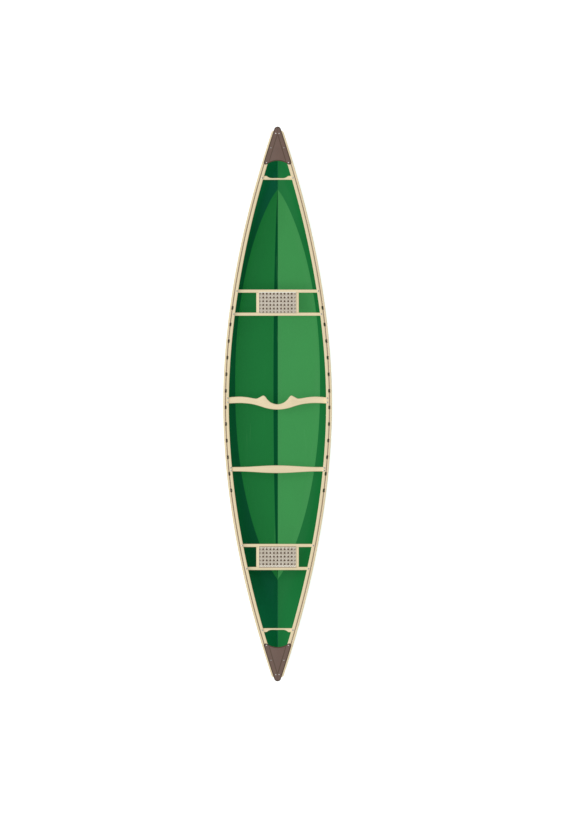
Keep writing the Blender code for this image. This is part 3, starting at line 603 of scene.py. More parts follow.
def make_outer_skin():
    """Glossy green outside, worn pale along the keel line and round the stems."""
    s = Surface("hull_outside", srgb("207038"))
    place = s.coordinates()
    cloudy = s.noise(place, 1.7, 4.0, 0.55)
    colour = s.vary([0.0165, 0.1750, 0.0430, 1.0], cloudy, 0.93, 1.07)
    low = s.fit(s.parts(place)[2], 0.015, 0.17, 1.0, 0.0)
    long_marks = s.noise(place, (70.0, 2.2, 70.0), 6.0, 0.65)
    short_marks = s.noise(place, (24.0, 30.0, 90.0), 5.0, 0.65)
    marks = s.maths("MAXIMUM", s.fit(long_marks, 0.60, 0.70), s.fit(short_marks, 0.66, 0.74))
    worn = s.times(marks, s.plus(s.times(low, 0.55), 0.05))
    colour = s.mix(worn, colour, [0.3000, 0.4600, 0.3300, 1.0])
    roughness = s.plus(s.spread(cloudy, 0.24, 0.34), s.times(worn, 0.4))
    ripple = s.noise(place, 9.0, 2.0, 0.5)
    height = s.plus(s.times(ripple, 0.5), s.times(worn, -0.25))
    return s.finish(colour, roughness, s.bump(height, 0.12, 0.002), specular=0.25, coat=0.06)


def drain_slots(s, place):
    """1 beside a drain slot and 0 between the slots."""
    y = s.parts(place)[1]
    steps = s.times(s.maths("SUBTRACT", y, SCUPPER_FIRST), 1 / SCUPPER_PITCH)
    away = s.maths("ABSOLUTE", s.maths("SUBTRACT", steps, s.maths("ROUND", steps)))
    near = s.fit(away, (SCUPPER_HALF_LENGTH - 0.0005) / SCUPPER_PITCH,
                 (SCUPPER_HALF_LENGTH + 0.0005) / SCUPPER_PITCH, 1.0, 0.0)
    middle = SCUPPER_FIRST - SCUPPER_PITCH * (SCUPPER_COUNT - 1) / 2
    far = s.maths("ABSOLUTE", s.maths("SUBTRACT", y, middle))
    return s.times(near, s.maths("LESS_THAN", far, SCUPPER_PITCH * SCUPPER_COUNT / 2))


def make_laminate():
    """The sawn edge of the hull: foam core between two thin green skins, with painted shade beside the
    drain slots.
    """
    s = Surface("hull_edge", srgb("988674"))
    place = s.coordinates()
    grain = s.noise(place, 900.0, 2.0, 0.6)
    core = s.vary(srgb("9b806e"), grain, 0.90, 1.10)
    skin = s.fit(s.attribute("core"), 0.62, 0.80)
    colour = s.mix(skin, core, [0.0500, 0.1100, 0.0500, 1.0])
    colour = s.mix(drain_slots(s, place), colour, srgb(SLOT_SHADE_COLOUR))
    return s.finish(colour, 0.8, s.bump(grain, 0.3, 0.0004), specular=0.1)


def make_wood():
    """Oiled ash, with painted shade in the drain slots and on the faces that the lamps light most. The UV
    map runs in metres, with U along the grain.
    """
    ash = srgb("e6d7b4")
    s = Surface("oiled_ash", ash)
    flat = s.coordinates("UV")
    own_place = {0: s.times(s.chance(), 31.0), 1: s.times(s.chance(), 7.0)}
    shift = s.add("ShaderNodeCombineXYZ", own_place).outputs[0]
    place = s.add("ShaderNodeVectorMath", {0: flat, 1: shift}, operation="ADD").outputs[0]
    wander = s.noise(place, (3.0, 30.0, 1.0), 3.0, 0.5)
    bands = s.add("ShaderNodeTexWave", {"Vector": s.stretch(place, (1.3, 120.0, 1.0)), "Scale": 1.0,
                                        "Distortion": 7.0, "Detail": 3.0, "Detail Scale": 0.8,
                                        "Detail Roughness": 0.6},
                  bands_direction="Y", wave_profile="SAW").outputs[0]
    streaks = s.noise(place, (5.0, 420.0, 1.0), 5.0, 0.65)
    pores = s.fit(s.noise(place, (38.0, 1500.0, 1.0), 2.0, 0.5), 0.60, 0.70)
    light = scaled(ash, 1.08)
    dark = [light[0] * 0.76, light[1] * 0.66, light[2] * 0.52, 1.0]
    colour = s.mix(s.fit(bands, 0.15, 0.95, 0.0, 0.42), light, dark)
    colour = s.vary(colour, streaks, 0.93, 1.05)
    colour = s.mix(s.times(pores, 0.30), colour, scaled(dark, 0.6))
    colour = s.shade(colour, s.fit(s.chance(), 0.0, 1.0, 0.99, 1.02))
    colour = s.vary(colour, wander, 0.97, 1.03)
    # painted shade: dark brown in the drain slots and beside them on the outwale's inner edge
    beside = s.times(s.attribute("seam"), drain_slots(s, s.coordinates()))
    colour = s.mix(s.maths("MAXIMUM", s.attribute("stain"), beside), colour, srgb(SLOT_SHADE_COLOUR))
    # painted shade: faces that get more light than the tops are darkened to about the tops' brightness
    colour = evened(s, colour, 0.90, 0.90)
    height = s.plus(streaks, s.times(pores, -1.2))
    roughness = s.spread(streaks, 0.40, 0.52)
    return s.finish(colour, roughness, s.bump(height, 0.22, 0.0004), specular=0.25)


def make_deck_plastic():
    """Brown moulded plastic with a leathery pebble; painted shade darkens its border, its creases and its
    rolled lip, and its colour is evened against the studio's light.
    """
    s = Surface("deck_plastic", srgb("726057"))
    place = s.coordinates()
    pebble = s.cells(place, 620.0, "SMOOTH_F1")
    cloudy = s.noise(place, 14.0, 4.0, 0.6)
    colour = s.vary(srgb("705c53"), cloudy, 0.95, 1.05)
    border = s.fit(s.attribute("border"), 0.0078, 0.0088, 1.0, 0.0)
    crease = s.fit(s.attribute("crease"), 0.0030, 0.0042, 1.0, 0.0)
    lip = s.fit(s.attribute("lip"), 0.0, 1.0)
    # painted shade along the border, in the creases and on the rolled lip
    colour = s.mix(border, colour, srgb("4d3c31"))
    colour = s.mix(crease, colour, srgb("58483b"))
    colour = s.mix(lip, colour, srgb("5a4339"))
    # painted light and shade: the colour is evened against the light that each face gets
    colour = evened(s, colour, 0.88, 0.72)
    scratches = s.fit(s.noise(place, (160.0, 14.0, 60.0), 5.0, 0.6), 0.66, 0.76, 0.0, 0.16)
    colour = s.mix(scratches, colour, srgb("93827a"))
    roughness = s.spread(cloudy, 0.52, 0.64)
    return s.finish(colour, roughness, s.bump(pebble, 0.30, 0.0006), specular=0.18)


def make_cane():
    """Split cane: glossy, streaked along each strand, and each strand a little different."""
    s = Surface("woven_cane", srgb("cec7b6"))
    flat = s.coordinates("UV")
    tone = s.attribute("tone")
    fibres = s.noise(flat, (30.0, 2600.0, 1.0), 3.0, 0.6)
    knots = s.fit(s.noise(flat, (22.0, 60.0, 1.0), 1.0, 0.5), 0.70, 0.74)
    pale = s.fit(tone, -1.0, 0.0, 1.0, 0.0)
    light = s.mix(pale, [0.6480, 0.5920, 0.5020, 1.0], [0.8700, 0.8200, 0.7100, 1.0])
    dark = [0.4980, 0.4370, 0.3410, 1.0]
    colour = s.mix(tone, light, dark)
    colour = s.vary(colour, fibres, 0.92, 1.07)
    colour = s.mix(s.times(knots, 0.35), colour, [0.2600, 0.1900, 0.1100, 1.0])
    roughness = s.spread(fibres, 0.38, 0.50)
    return s.finish(colour, roughness, s.bump(fibres, 0.25, 0.0003), specular=0.4)


def make_spline_surface():
    """The split reed that locks the cane's edge, paler on some sides than on others."""
    s = Surface("spline_reed", srgb("c8b89e"))
    place = s.coordinates()
    fibres = s.noise(place, (55.0, 55.0, 900.0), 4.0, 0.6)
    colour = s.mix(s.attribute("pale"), srgb("bba992"), srgb("faf5e6"))
    colour = s.vary(colour, fibres, 0.93, 1.05)
    return s.finish(colour, 0.45, s.bump(fibres, 0.2, 0.0004), specular=0.35)


def make_hole_shade():
    """Painted shade: a dark brown sheet under the cane that shows through the weave's holes where only
    shade would be.
    """
    s = Surface("painted_hole_shade", srgb("6e6358"))
    place = s.coordinates()
    speckle = s.noise(place, 900.0, 2.0, 0.5)
    colour = s.vary(srgb("6a594c"), speckle, 0.85, 1.15)
    return s.finish(colour, 0.9, s.bump(speckle, 0.5, 0.0005), specular=0.1)


def make_steel(name, tone):
    """Brushed stainless steel."""
    s = Surface(name, [tone, tone, tone, 1.0])
    place = s.coordinates()
    brushed = s.noise(place, (400.0, 3000.0, 400.0), 2.0, 0.6)
    colour = s.vary([tone, tone, tone * 0.98, 1.0], brushed, 0.9, 1.08)
    roughness = s.spread(brushed, 0.28, 0.42)
    return s.finish(colour, roughness, s.bump(brushed, 0.1, 0.0002), metallic=0.85)


# ================================================================== mesh helpers
def settle(name, mesh, surfaces, angle):
    """Merge coincident points, turn the faces outwards, and link the object."""
    draft = bmesh.new()
    draft.from_mesh(mesh)
    bmesh.ops.remove_doubles(draft, verts=draft.verts, dist=1e-6)
    bmesh.ops.recalc_face_normals(draft, faces=draft.faces)
    draft.to_mesh(mesh)
    draft.free()
    mesh.shade_smooth()
    mesh.set_sharp_from_angle(angle=math.radians(angle))
    for surface in surfaces:
        mesh.materials.append(surface)
    made = bpy.data.objects.new(name, mesh)
    bpy.context.scene.collection.objects.link(made)
    return made


def lengths_along(points):
    """Running length at each point of a line."""
    total = [0.0]
    for near, far in zip(points, points[1:]):
        total.append(total[-1] + (far - near).length)
    return total


class Shell:
    """Collects lofted surfaces for one mesh, with UVs in metres and values on its points."""

    def __init__(self, *values):
        self.points = []
        self.faces = []
        self.uvs = []
        self.slots = []
        self.values = {name: [] for name in values}

    def loft(self, rows, along=None, caps=True, looped=False, slot_of=None, **values):
        """Skin closed sections with the same number of points. along gives each section's U."""
        size = len(rows[0])
        base = len(self.points)
        for row in rows:
            self.points += [tuple(point) for point in row]
        for name, store in self.values.items():
            given = values.get(name, 0.0)
            if isinstance(given, (int, float)):
                store += [given] * (size * len(rows))
            else:
                store += [value for row in given for value in row]
        along = along or [float(index) for index in range(len(rows))]
        section = rows[len(rows) // 2]
        around = lengths_along([*section, section[0]])
        spans = list(zip(range(len(rows) - 1), range(1, len(rows))))
        if looped:
            spans.append((len(rows) - 1, 0))
        for near, far in spans:
            for index in range(size):
                following = (index + 1) % size
                self.faces.append((base + near * size + index, base + near * size + following,
                                   base + far * size + following, base + far * size + index))
                self.uvs += [(along[near], around[index]), (along[near], around[index + 1]),
                             (along[far], around[index + 1]), (along[far], around[index])]
                self.slots.append(slot_of(index) if slot_of else 0)
        if caps:
            for row, order in ((0, range(size)), (len(rows) - 1, range(size - 1, -1, -1))):
                self.faces.append(tuple(base + row * size + index for index in order))
                self.uvs += [(along[row], around[index]) for index in order]
                self.slots.append(0)

    def build(self, name, *surfaces, angle=40):
        mesh = bpy.data.meshes.new(name)
        mesh.from_pydata(self.points, [], self.faces)
        layer = mesh.uv_layers.new(name="UVMap")
        layer.data.foreach_set("uv", [value for pair in self.uvs for value in pair])
        mesh.polygons.foreach_set("material_index", self.slots)
        for value_name, store in self.values.items():
            attribute = mesh.attributes.new(value_name, "FLOAT", "POINT")
            attribute.data.foreach_set("value", store)
        return settle(name, mesh, surfaces, angle)


def lofted(name, surface, rows, angle=40, **options):
    """A piece that is one loft."""
    shell = Shell()
    shell.loft(rows, **options)
    return shell.build(name, surface, angle=angle)


def place_on_canoe(piece, slot, *nodes):
    """Let the piece ride on the canoe and stand for its nodes, which are hidden; the slot is not used."""
    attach(piece, ROOT)
    if nodes:
        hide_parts(*nodes)


def rounded_outline(width, height, radii, steps=5):
    """A rectangle from (0, 0) to (width, height) with its own radius at each corner, anticlockwise."""
    points = []
    corners = ((0, 0, 180), (width, 0, 270), (width, height, 0), (0, height, 90))
    for (x, y, start), radius in zip(corners, radii):
        centre_x = x + (radius if x == 0 else -radius)
        centre_y = y + (radius if y == 0 else -radius)
        for step in range(steps + 1):
            angle = math.radians(start + 90 * step / steps)
            points.append((centre_x + radius * math.cos(angle), centre_y + radius * math.sin(angle)))
    return points


def ring(radius, z, sides=24, hexagon=False):
    """A ring of points, or a hexagon with as many."""
    points = []
    for index in range(sides):
        angle = 2 * math.pi * index / sides
        reach = radius
        if hexagon:
            away = (angle + math.pi / 6) % (math.pi / 3) - math.pi / 6
            reach = radius * math.cos(math.pi / 6) / math.cos(math.pi / 6 - abs(away))
        points.append(Vector((reach * math.cos(angle), reach * math.sin(angle), z)))
    return points


def rings(profile, placement, **shape):
    """A placed ring for each (radius, height)."""
    return [[placement @ point for point in ring(radius, z, **shape)] for radius, z in profile]


# ================================================================== hull
def half_section(section):
    """Points of one side of a section: bottom, chine rounding, side."""
    bottom_part, side_height = section.rounding_ends()
    last = KEEL_PARTS[-1]
    parts = KEEL_PARTS + [last + (bottom_part - last) * step / 9 for step in range(1, 9)]
    heights = [side_height + (1 - side_height) * step / 15 for step in range(1, 16)]
    points = [section.bottom(part) for part in parts]
    points += [section.rounding(step / 9) for step in range(10)]
    return points + [section.side(height) for height in heights]


def make_hull(inside, outside, edge):
    """The shell, with the values by which its materials draw the panel, the crease's strip of painted
    shade, the port side's painted shade and the foam core.
    """
    rows, panel, crease, across, core = [], [], [], [], []
    drop = Vector((0, 0, RIM_DROP))
    stations = hull_stations(84, 9)
    for station in stations:
        inner_frame = HullFrame(station, SKIN)
        outer = half_section(HullFrame(station, 0.0))
        inner = half_section(inner_frame)
        rim = [outer[-1].lerp(inner[-1], part) for part, _ in RIM]
        outer[-1] = outer[-1] - drop
        inner[-1] = inner[-1] - drop
        half = outer + rim + inner[::-1]
        row = half + mirrored(half[-2:0:-1])
        rows.append(row)
        panel.append([panel_half_width(point.y) - abs(point.x) for point in row])
        crease.append([inner_frame.chine * KEEL_SHADE_PART - abs(point.x) for point in row])
        across.append([point.x for point in row])
        green = [1.0] * len(outer) + [value for _, value in RIM] + [1.0] * len(inner)
        core.append(green + green[-2:0:-1])

    def slot_of(index):
        """Outside, rim or inside, from the place in a row."""
        folded = min(index, len(row) - 1 - index)
        if folded < len(outer) - 1:
            return 1
        return 2 if folded < len(outer) + len(RIM) else 0

    shell = Shell("panel", "crease", "across", "core")
    shell.loft(rows, [station * LENGTH / 2 for station in stations], caps=False, slot_of=slot_of,
               panel=panel, crease=crease, across=across, core=core)
    hull = shell.build("canoe_hull", inside, outside, edge, angle=50)
    place_on_canoe(hull, "hull_green", "hull_shell")


# ================================================================== gunwales
def scupper_depth(y):
    """How far the drain slots cut into the inwale at a y."""
    along = min(abs(y - centre) for centre in SCUPPER_YS) / SCUPPER_HALF_LENGTH
    if along >= 1:
        return 0.0
    return SCUPPER_DEPTH * (1 - along ** (2 / SCUPPER_ROUNDING)) ** (SCUPPER_ROUNDING / 2)


def rail_ys(end, rounding, scuppers):
    """Where a rail's sections stand, closer together at its drain slots and its rounded ends."""
    ys = [station * nose_tip(OUTWALE_WIDTH) for station in hull_stations(70, 2)]
    if scuppers:
        for centre in SCUPPER_YS:
            for part in SCUPPER_PARTS:
                ys += [centre + part * SCUPPER_HALF_LENGTH, centre - part * SCUPPER_HALF_LENGTH]
    ys = sorted(set(round(y, 6) for y in ys if abs(y) < end - rounding - 0.004))
    close = [end - rounding + rounding * math.sin(math.radians(15 * step)) for step in range(7)]
    if not rounding:
        close = [end]
    return [-y for y in reversed(close)] + ys + close


def make_rail(name, side, outline, end, rounding, surface, scuppers=False):
    """A strip along the gunwale. The outline holds (distance inboard, height over the sheer)."""
    rows, stains, middles = [], [], []
    cut_edge = INWALE_OUTER + GAP + INWALE_LEAN + SLOT_REACH
    dark_edge = INWALE_OUTER + GAP + SLOT_SHADE_REACH
    seam = [1.0 if SEAM_STRIP[0] < distance < SEAM_STRIP[1] and height > RAIL_BOTTOM / 2 else 0.0
            for distance, height in outline]
    for y in rail_ys(end, rounding, scuppers):
        past = max(abs(y) - (end - rounding), 0.0)
        cut = rounding - math.sqrt(max(rounding**2 - past**2, 0.0))
        slot = scupper_depth(y) if scuppers else 0.0
        row = []
        # painted shade: points on the drain slots' faces are marked to be dark
        stains.append([1.0 if slot and distance < dark_edge else 0.0 for distance, _ in outline])
        for distance, height in outline:
            if distance < cut_edge:
                distance += slot * (1.0 if height > RAIL_BOTTOM / 2 else SLOT_FOOT)
            x = max(inboard(y, max(distance, cut)), GAP)
            row.append(Vector((side * x, y, sheer(y) + height)))
        rows.append(row)
        middles.append(Vector((inboard(y, 0.02), y, sheer(y))))
    shell = Shell("stain", "seam")
    shell.loft(rows, lengths_along(middles), stain=stains, seam=[seam] * len(rows))
    return shell.build(name, surface, angle=32)


def make_gunwales(wood, steel):
    """Both strips on both sides, with extra points on the outwale's top where its strip of painted shade
    starts.
    """
    outwale = [(x, RAIL_BOTTOM + z) for x, z in
               rounded_outline(OUTWALE_WIDTH - GAP, RAIL_DEPTH, OUTWALE_CORNERS)]
    corner = next(index for index, (_, z) in enumerate(outwale) if z > RAIL_PROUD - 1e-6)
    edge = SEAM_STRIP[0]
    outwale[corner + 1:corner + 1] = [(edge + 0.0001, RAIL_PROUD), (edge, RAIL_PROUD)]
    width = INWALE_WIDTH - GAP
    inwale = []
    for x, z in rounded_outline(width, RAIL_DEPTH, INWALE_CORNERS):
        lean = INWALE_LEAN * (1 - z / RAIL_DEPTH) * (1 - x / width)
        inwale.append((INWALE_OUTER + GAP + x + lean, RAIL_BOTTOM + z))
    for side, word in SIDES:
        outer = make_rail(f"ash_outwale_{word}", side, outwale, OUTWALE_END, OUTWALE_END_ROUNDING, wood)
        place_on_canoe(outer, "ash_wood", f"outwale_{word}")
        inner = make_rail(f"ash_inwale_{word}", side, inwale, INWALE_END, 0.0, wood, True)
        place_on_canoe(inner, "ash_wood", f"inwale_{word}")
        place_on_canoe(make_rail_screws(f"gunwale_screws_{word}", side, steel), "fastener_steel")


def make_rail_screws(name, side, steel):
    """Oval heads on the inwale's inboard face, midway between the drain slots and on to the ends."""
    shell = Shell()
    first = SCUPPER_FIRST - SCUPPER_PITCH / 2 - SCUPPER_PITCH * 5
    count = int(INWALE_END / SCUPPER_PITCH)
    taken = [y for rails in SEAT_RAILS.values() for y in rails]
    up = Vector((0, 0, 1))
    for index in range(-count, count + 1):
        y = first + SCUPPER_PITCH * index
        if abs(y) > RAIL_SCREWS_END or any(abs(y - other) < RAIL_SCREW_ROOM for other in taken):
            continue
        turn = math.copysign(plan_angle(y), -y) * side
        inward = Vector((-side * math.cos(turn), side * math.sin(turn), 0.0)).normalized()
        middle = Vector((side * inboard(y, INWALE_INNER), y, sheer(y) + RAIL_PROUD - RAIL_DEPTH / 2))
        facing = Matrix((up.cross(inward), up, inward)).transposed().to_4x4()
        placement = Matrix.Translation(middle) @ facing
        shell.loft(rings(RAIL_SCREW_RINGS, placement, sides=16))
    return shell.build(name, steel)


# ================================================================== cross bars
def bar_section(x, edges, top_of, thickness, radius):
    """One section of a bar. Without an x it follows the hull's side."""
    rear, front = sorted(edges)
    section = []
    for across, rise in rounded_outline(front - rear, thickness, (radius,) * 4, 6):
        y = rear + across
        z = top_of(y) - thickness + rise
        section.append(Vector((hull_x(y, z) - BAR_END_GAP if x is None else x, y, z)))
    return section


def make_cross_bar(name, edges_at, top_of, thickness, radius, step, wood):
    """A bar from side to side, its ends cut to the hull. edges_at gives the y of its edges at an x."""
    edges = edges_at(1.0)
    middle = sum(edges) / 2
    least = min(hull_x(y, top_of(y) - thickness) for y in edges)
    count = max(int(least / step), 4)
    half = []
    for index in range(count):
        x = (least - BAR_END_ROOM) * index / (count - 1)
        half.append(bar_section(x, edges_at(x), top_of, thickness, radius))
    edges = edges_at(hull_x(middle, top_of(middle)))
    half.append(bar_section(None, edges, top_of, thickness, radius))
    rows = [mirrored(section) for section in half[:0:-1]] + half
    return lofted(name, wood, rows, along=[row[0].x for row in rows])


def under_gunwale(y):
    """Top of a bar that bolts up under the inwales."""
    return sheer(y) + BAR_TOP


def yoke_edges(x):
    x = min(x, YOKE_FRONT[-1][0])
    return smooth_curve(YOKE_REAR, x), smooth_curve(YOKE_FRONT, x)


def thwart_edges(x):
    swell = THWART_SWELL * (0.5 + 0.5 * math.cos(math.pi * min(x / THWART_SWELL_REACH, 1.0)))
    return THWART_CENTRE - THWART_END_HALF_WIDTH - swell, THWART_CENTRE + THWART_END_HALF_WIDTH + swell


def handle_edges(end):
    return lambda x: (end * HANDLE_INBOARD,
                      end * smooth_curve(HANDLE_OUTBOARD, min(x, HANDLE_OUTBOARD[-1][0])))


def make_bars(wood):
    bars = [("portage_yoke", "portage_yoke", yoke_edges, BAR_THICKNESS, BAR_ROUNDING, YOKE_STEP),
            ("rear_thwart", "rear_thwart", thwart_edges, BAR_THICKNESS, BAR_ROUNDING, BAR_STEP)]
    bars += [(f"{word}_handle", f"{word}_carry_handle", handle_edges(end), HANDLE_THICKNESS,
              HANDLE_ROUNDING, HANDLE_STEP) for end, word in ENDS]
    for name, node, edges_at, thickness, radius, step in bars:
        bar = make_cross_bar(f"ash_{name}", edges_at, under_gunwale, thickness, radius, step, wood)
        place_on_canoe(bar, "ash_wood", node)


# ================================================================== seats
def seat_top(seat):
    """Height of the top of a seat's level frame."""
    return min(under_gunwale(y) for y in SEAT_RAILS[seat]) - SEAT_DROP[seat]


def make_seat_wood(seat, rails, wood):
    top = seat_top(seat)
    front, rear = rails
    for part, y in (("front_rail", front), ("rear_rail", rear)):
        edges = (y - SEAT_RAIL_HALF_WIDTH, y + SEAT_RAIL_HALF_WIDTH)
        rail = make_cross_bar(f"ash_{seat}_{part}", lambda x, edges=edges: edges, lambda y: top,
                              BAR_THICKNESS, SEAT_RAIL_ROUNDING, BAR_STEP, wood)
        place_on_canoe(rail, "ash_wood", f"{seat}_{part}")
    low = rear + SEAT_RAIL_HALF_WIDTH + GAP
    high = front - SEAT_RAIL_HALF_WIDTH - GAP
    for side, word in SIDES:
        outline = rounded_outline(SIDE_BAR[1] - SIDE_BAR[0], BAR_THICKNESS, (SIDE_BAR_ROUNDING,) * 4, 4)
        rows = [[Vector((side * (SIDE_BAR[0] + x), y, top - BAR_THICKNESS + z)) for x, z in outline]
                for y in (low, (low + high) / 2, high)]
        bar = lofted(f"ash_{seat}_{word}_bar", wood, rows, along=[row[0].y for row in rows])
        place_on_canoe(bar, "ash_wood", f"{seat}_{word}_side_bar")


def strand(shell, line, across, width, tone):
    """One flat strand of cane along a line of points, with a rounded upper face."""
    half = width / 2
    half_thickness = STRAND_THICKNESS / 2
    profile = ((-half, -0.2), (-half * 0.92, 0.45), (-half * 0.5, 0.9), (0.0, 1.0), (half * 0.5, 0.9),
               (half * 0.92, 0.45), (half, -0.2), (half * 0.9, -1.0), (-half * 0.9, -1.0))
    rows = []
    for point in line:
        rows.append([point + across * offset + Vector((0, 0, rise * half_thickness))
                     for offset, rise in profile])
    shell.loft(rows, lengths_along(line), tone=tone)


def woven_line(start, direction, length, crossings, parity, middle_z):
    """A strand's line that goes over and under the strands that it crosses."""
    stops = [(0.0, 0.0)]
    stops += [(at, STRAND_WAVE * (-1) ** (index + parity)) for index, at in enumerate(crossings)]
    stops.append((length, 0.0))
    line = []
    for (at, height), (next_at, next_height) in zip(stops, stops[1:]):
        for step in range(STRAND_STEPS):
            t = step / STRAND_STEPS
            z = middle_z + height + (next_height - height) * ease(t)
            point = start + direction * (at + (next_at - at) * t)
            line.append(Vector((point.x, point.y, z)))
    end = start + direction * length
    return line + [Vector((end.x, end.y, middle_z))]


def pair_places(centres, half_length):
    """The two strands of each pair that lie within the sheet."""
    places = [centre + side * STRAND_OFFSET for centre in centres for side in (-1, 1)]
    return sorted(place for place in places if abs(place) < half_length - STRAND_WIDTH / 2)


def make_cane_sheet(seat, rails, cane, hole_shade, reed):
    """Six-way cane: pairs of strands both ways, and single strands on both diagonals."""
    top = seat_top(seat)
    front, rear = rails
    middle = (front + rear) / 2
    half_gap = (front - rear) / 2 - SEAT_RAIL_HALF_WIDTH - GAP
    middle_z = top + WEAVE_LIFT
    reach = CANE_HALF_LENGTH - CANE_ROOM
    draw = random.Random(WEAVE_SEED[seat])
    columns = pair_places([(k + 0.5) * CANE_PITCH[0] for k in range(-5, 5)], reach)
    shift = CANE_SHIFT[seat]
    lines = pair_places([shift + k * CANE_PITCH[1] for k in range(-3, 4)], half_gap)
    shell = Shell("tone")
    for number, x in enumerate(columns):
        start = Vector((x, middle - half_gap, 0.0))
        line = woven_line(start, Vector((0, 1, 0)), 2 * half_gap, [y + half_gap for y in lines],
                          number, middle_z)
        strand(shell, line, Vector((1, 0, 0)), STRAND_WIDTH, draw.random())
    for number, y in enumerate(lines):
        start = Vector((-reach, middle + y, 0.0))
        line = woven_line(start, Vector((1, 0, 0)), 2 * reach, [x + reach for x in columns],
                          number + 1, middle_z)
        tone = draw.random()
        if seat == "stern_seat" and abs(y) > CANE_BAND:
            tone = -1.0
        strand(shell, line, Vector((0, 1, 0)), STRAND_WIDTH, tone)
    add_diagonals(shell, middle, shift, half_gap, reach, middle_z, draw)
    sheet = shell.build(f"woven_{seat}_cane", cane, angle=50)
    place_on_canoe(sheet, "seat_cane", f"{seat}_cane")
    make_hole_shade_sheet(seat, middle, half_gap, top, hole_shade)
    make_spline_frame(seat, middle, half_gap, top, reed)


def add_diagonals(shell, middle, shift, half_gap, reach, middle_z, draw):
    """Diagonals cross the pairs halfway between the pairs' own crossings."""
    pitch_x, pitch_y = CANE_PITCH
    trim = DIAGONAL_WIDTH / 2 * 0.72
    for lean in (1, -1):
        direction = Vector((pitch_x, lean * pitch_y, 0.0)).normalized()
        across = Vector((-direction.y, direction.x, 0.0))
        for number in range(-16, 17):
            ends = [(x, diagonal_y(x, lean, number, shift)) for x in (-reach, reach)]
            ends += [(diagonal_x(y, lean, number, shift), y) for y in (-half_gap, half_gap)]
            inside = sorted(x for x, y in ends if abs(x) <= reach + 1e-9 and abs(y) <= half_gap + 1e-9)
            if len(inside) < 2 or inside[-1] - inside[0] < DIAGONAL_LEAST:
                continue
            first, last = inside[0], inside[-1]
            steps = max(int((last - first) / pitch_x * 8), 3)
            line = []
            for step in range(steps + 1):
                x = first + trim + (last - first - 2 * trim) * step / steps
                u = x / pitch_x - 0.5
                z = middle_z - lean * DIAGONAL_WAVE * math.cos(2 * math.pi * u)
                line.append(Vector((x, middle + diagonal_y(x, lean, number, shift), z)))
            strand(shell, line, across, DIAGONAL_WIDTH, draw.random())


def diagonal_y(x, lean, number, shift):
    """Where a diagonal is at an x, from the middle of the seat."""
    u = x / CANE_PITCH[0] - 0.5
    return shift + lean * (u - number - 0.5) * CANE_PITCH[1]


def diagonal_x(y, lean, number, shift):
    """Where a diagonal is at a y."""
    u = lean * (y - shift) / CANE_PITCH[1] + number + 0.5
    return (u + 0.5) * CANE_PITCH[0]


def make_hole_shade_sheet(seat, middle, half_gap, top, hole_shade):
    """The sheet of painted shade, which sags a little under the weave, and its strips on the side bars,
    which darken the outer holes.
    """
    x = SIDE_BAR[0] - HOLE_SHADE_ROOM[0]
    y = half_gap - HOLE_SHADE_ROOM[1]
    z = top - HOLE_SHADE_DROP
    rows = []
    for step in range(9):
        at = -y + 2 * y * step / 8
        sag = HOLE_SHADE_SAG * (1 - (at / y) ** 2)
        upper = [Vector((-x, middle + at, z - sag)), Vector((0.0, middle + at, z - 2 * sag)),
                 Vector((x, middle + at, z - sag))]
        rows.append(upper + [point - Vector((0, 0, HOLE_SHADE_THICKNESS)) for point in reversed(upper)])
    shell = Shell()
    shell.loft(rows)
    low, high = HOLE_SHADE_EDGE
    start = SIDE_BAR[0] + GAP
    strip = ((start, low), (CANE_HALF_LENGTH, low), (CANE_HALF_LENGTH, high), (start, high))
    for side, _ in SIDES:
        shell.loft([[Vector((side * across, middle + at, top + rise)) for across, rise in strip]
                    for at in (-y, y)])
    place_on_canoe(shell.build(f"{seat}_scrim", hole_shade), "seat_cane")


def make_spline_frame(seat, middle, half_gap, top, reed):
    """The closed strip round the cane, rounded on top and at its corners."""
    inner_x = CANE_HALF_LENGTH + GAP
    inner_y = half_gap + GAP
    profile = [(0.0, 0.0)]
    for step in range(7):
        angle = math.pi * (1 - step / 6)
        profile.append((SPLINE_WIDTH / 2 * (1 + math.cos(angle)),
                        SPLINE_HEIGHT * (0.45 + 0.55 * math.sin(angle))))
    profile.append((SPLINE_WIDTH, 0.0))
    rows, pale = [], []
    front, rear, sides = REED_TONES[seat]
    for sign_x, sign_y, start in ((1, 1, 0), (-1, 1, 90), (-1, -1, 180), (1, -1, 270)):
        for step in range(5):
            angle = math.radians(start + 22.5 * step)
            outward = Vector((math.cos(angle), math.sin(angle), 0.0))
            corner = Vector((sign_x * inner_x, middle + sign_y * inner_y, top + GAP))
            rows.append([corner + outward * offset + Vector((0, 0, rise)) for offset, rise in profile])
            across = abs(outward.y) > 0.7
            tone = (front if sign_y > 0 else rear) if across else sides
            pale.append([tone] * len(profile))
    shell = Shell("pale")
    shell.loft(rows, caps=False, looped=True, pale=pale)
    place_on_canoe(shell.build(f"{seat}_reed", reed), "seat_spline", f"{seat}_spline")


# ================================================================== decks
def deck_rear_edge(x):
    """The y of the deck's rear edge: a hollow arc between rounded corners."""
    x = abs(x)
    if x <= DECK_CORNER_START:
        return DECK_REAR_APEX - DECK_REAR_RADIUS + math.sqrt(DECK_REAR_RADIUS**2 - x**2)
    across = min(abs(x - DECK_CORNER[0]), DECK_CORNER_RADIUS)
    return DECK_CORNER[1] - math.sqrt(DECK_CORNER_RADIUS**2 - across**2)


def deck_rear_width():
    return half_breadth(DECK_CORNER[1], DECK_EDGE)


def deck_crown(across, width):
    """How high the deck swells, at a part across of its half-width."""
    swell = max(1 - (across / DECK_CROWN_WIDTH) ** 2, 0.0)
    return DECK_CROWN * swell**2 * (width / deck_rear_width()) ** 2


def deck_underside(y):
    return sheer(y) + RAIL_PROUD + GAP


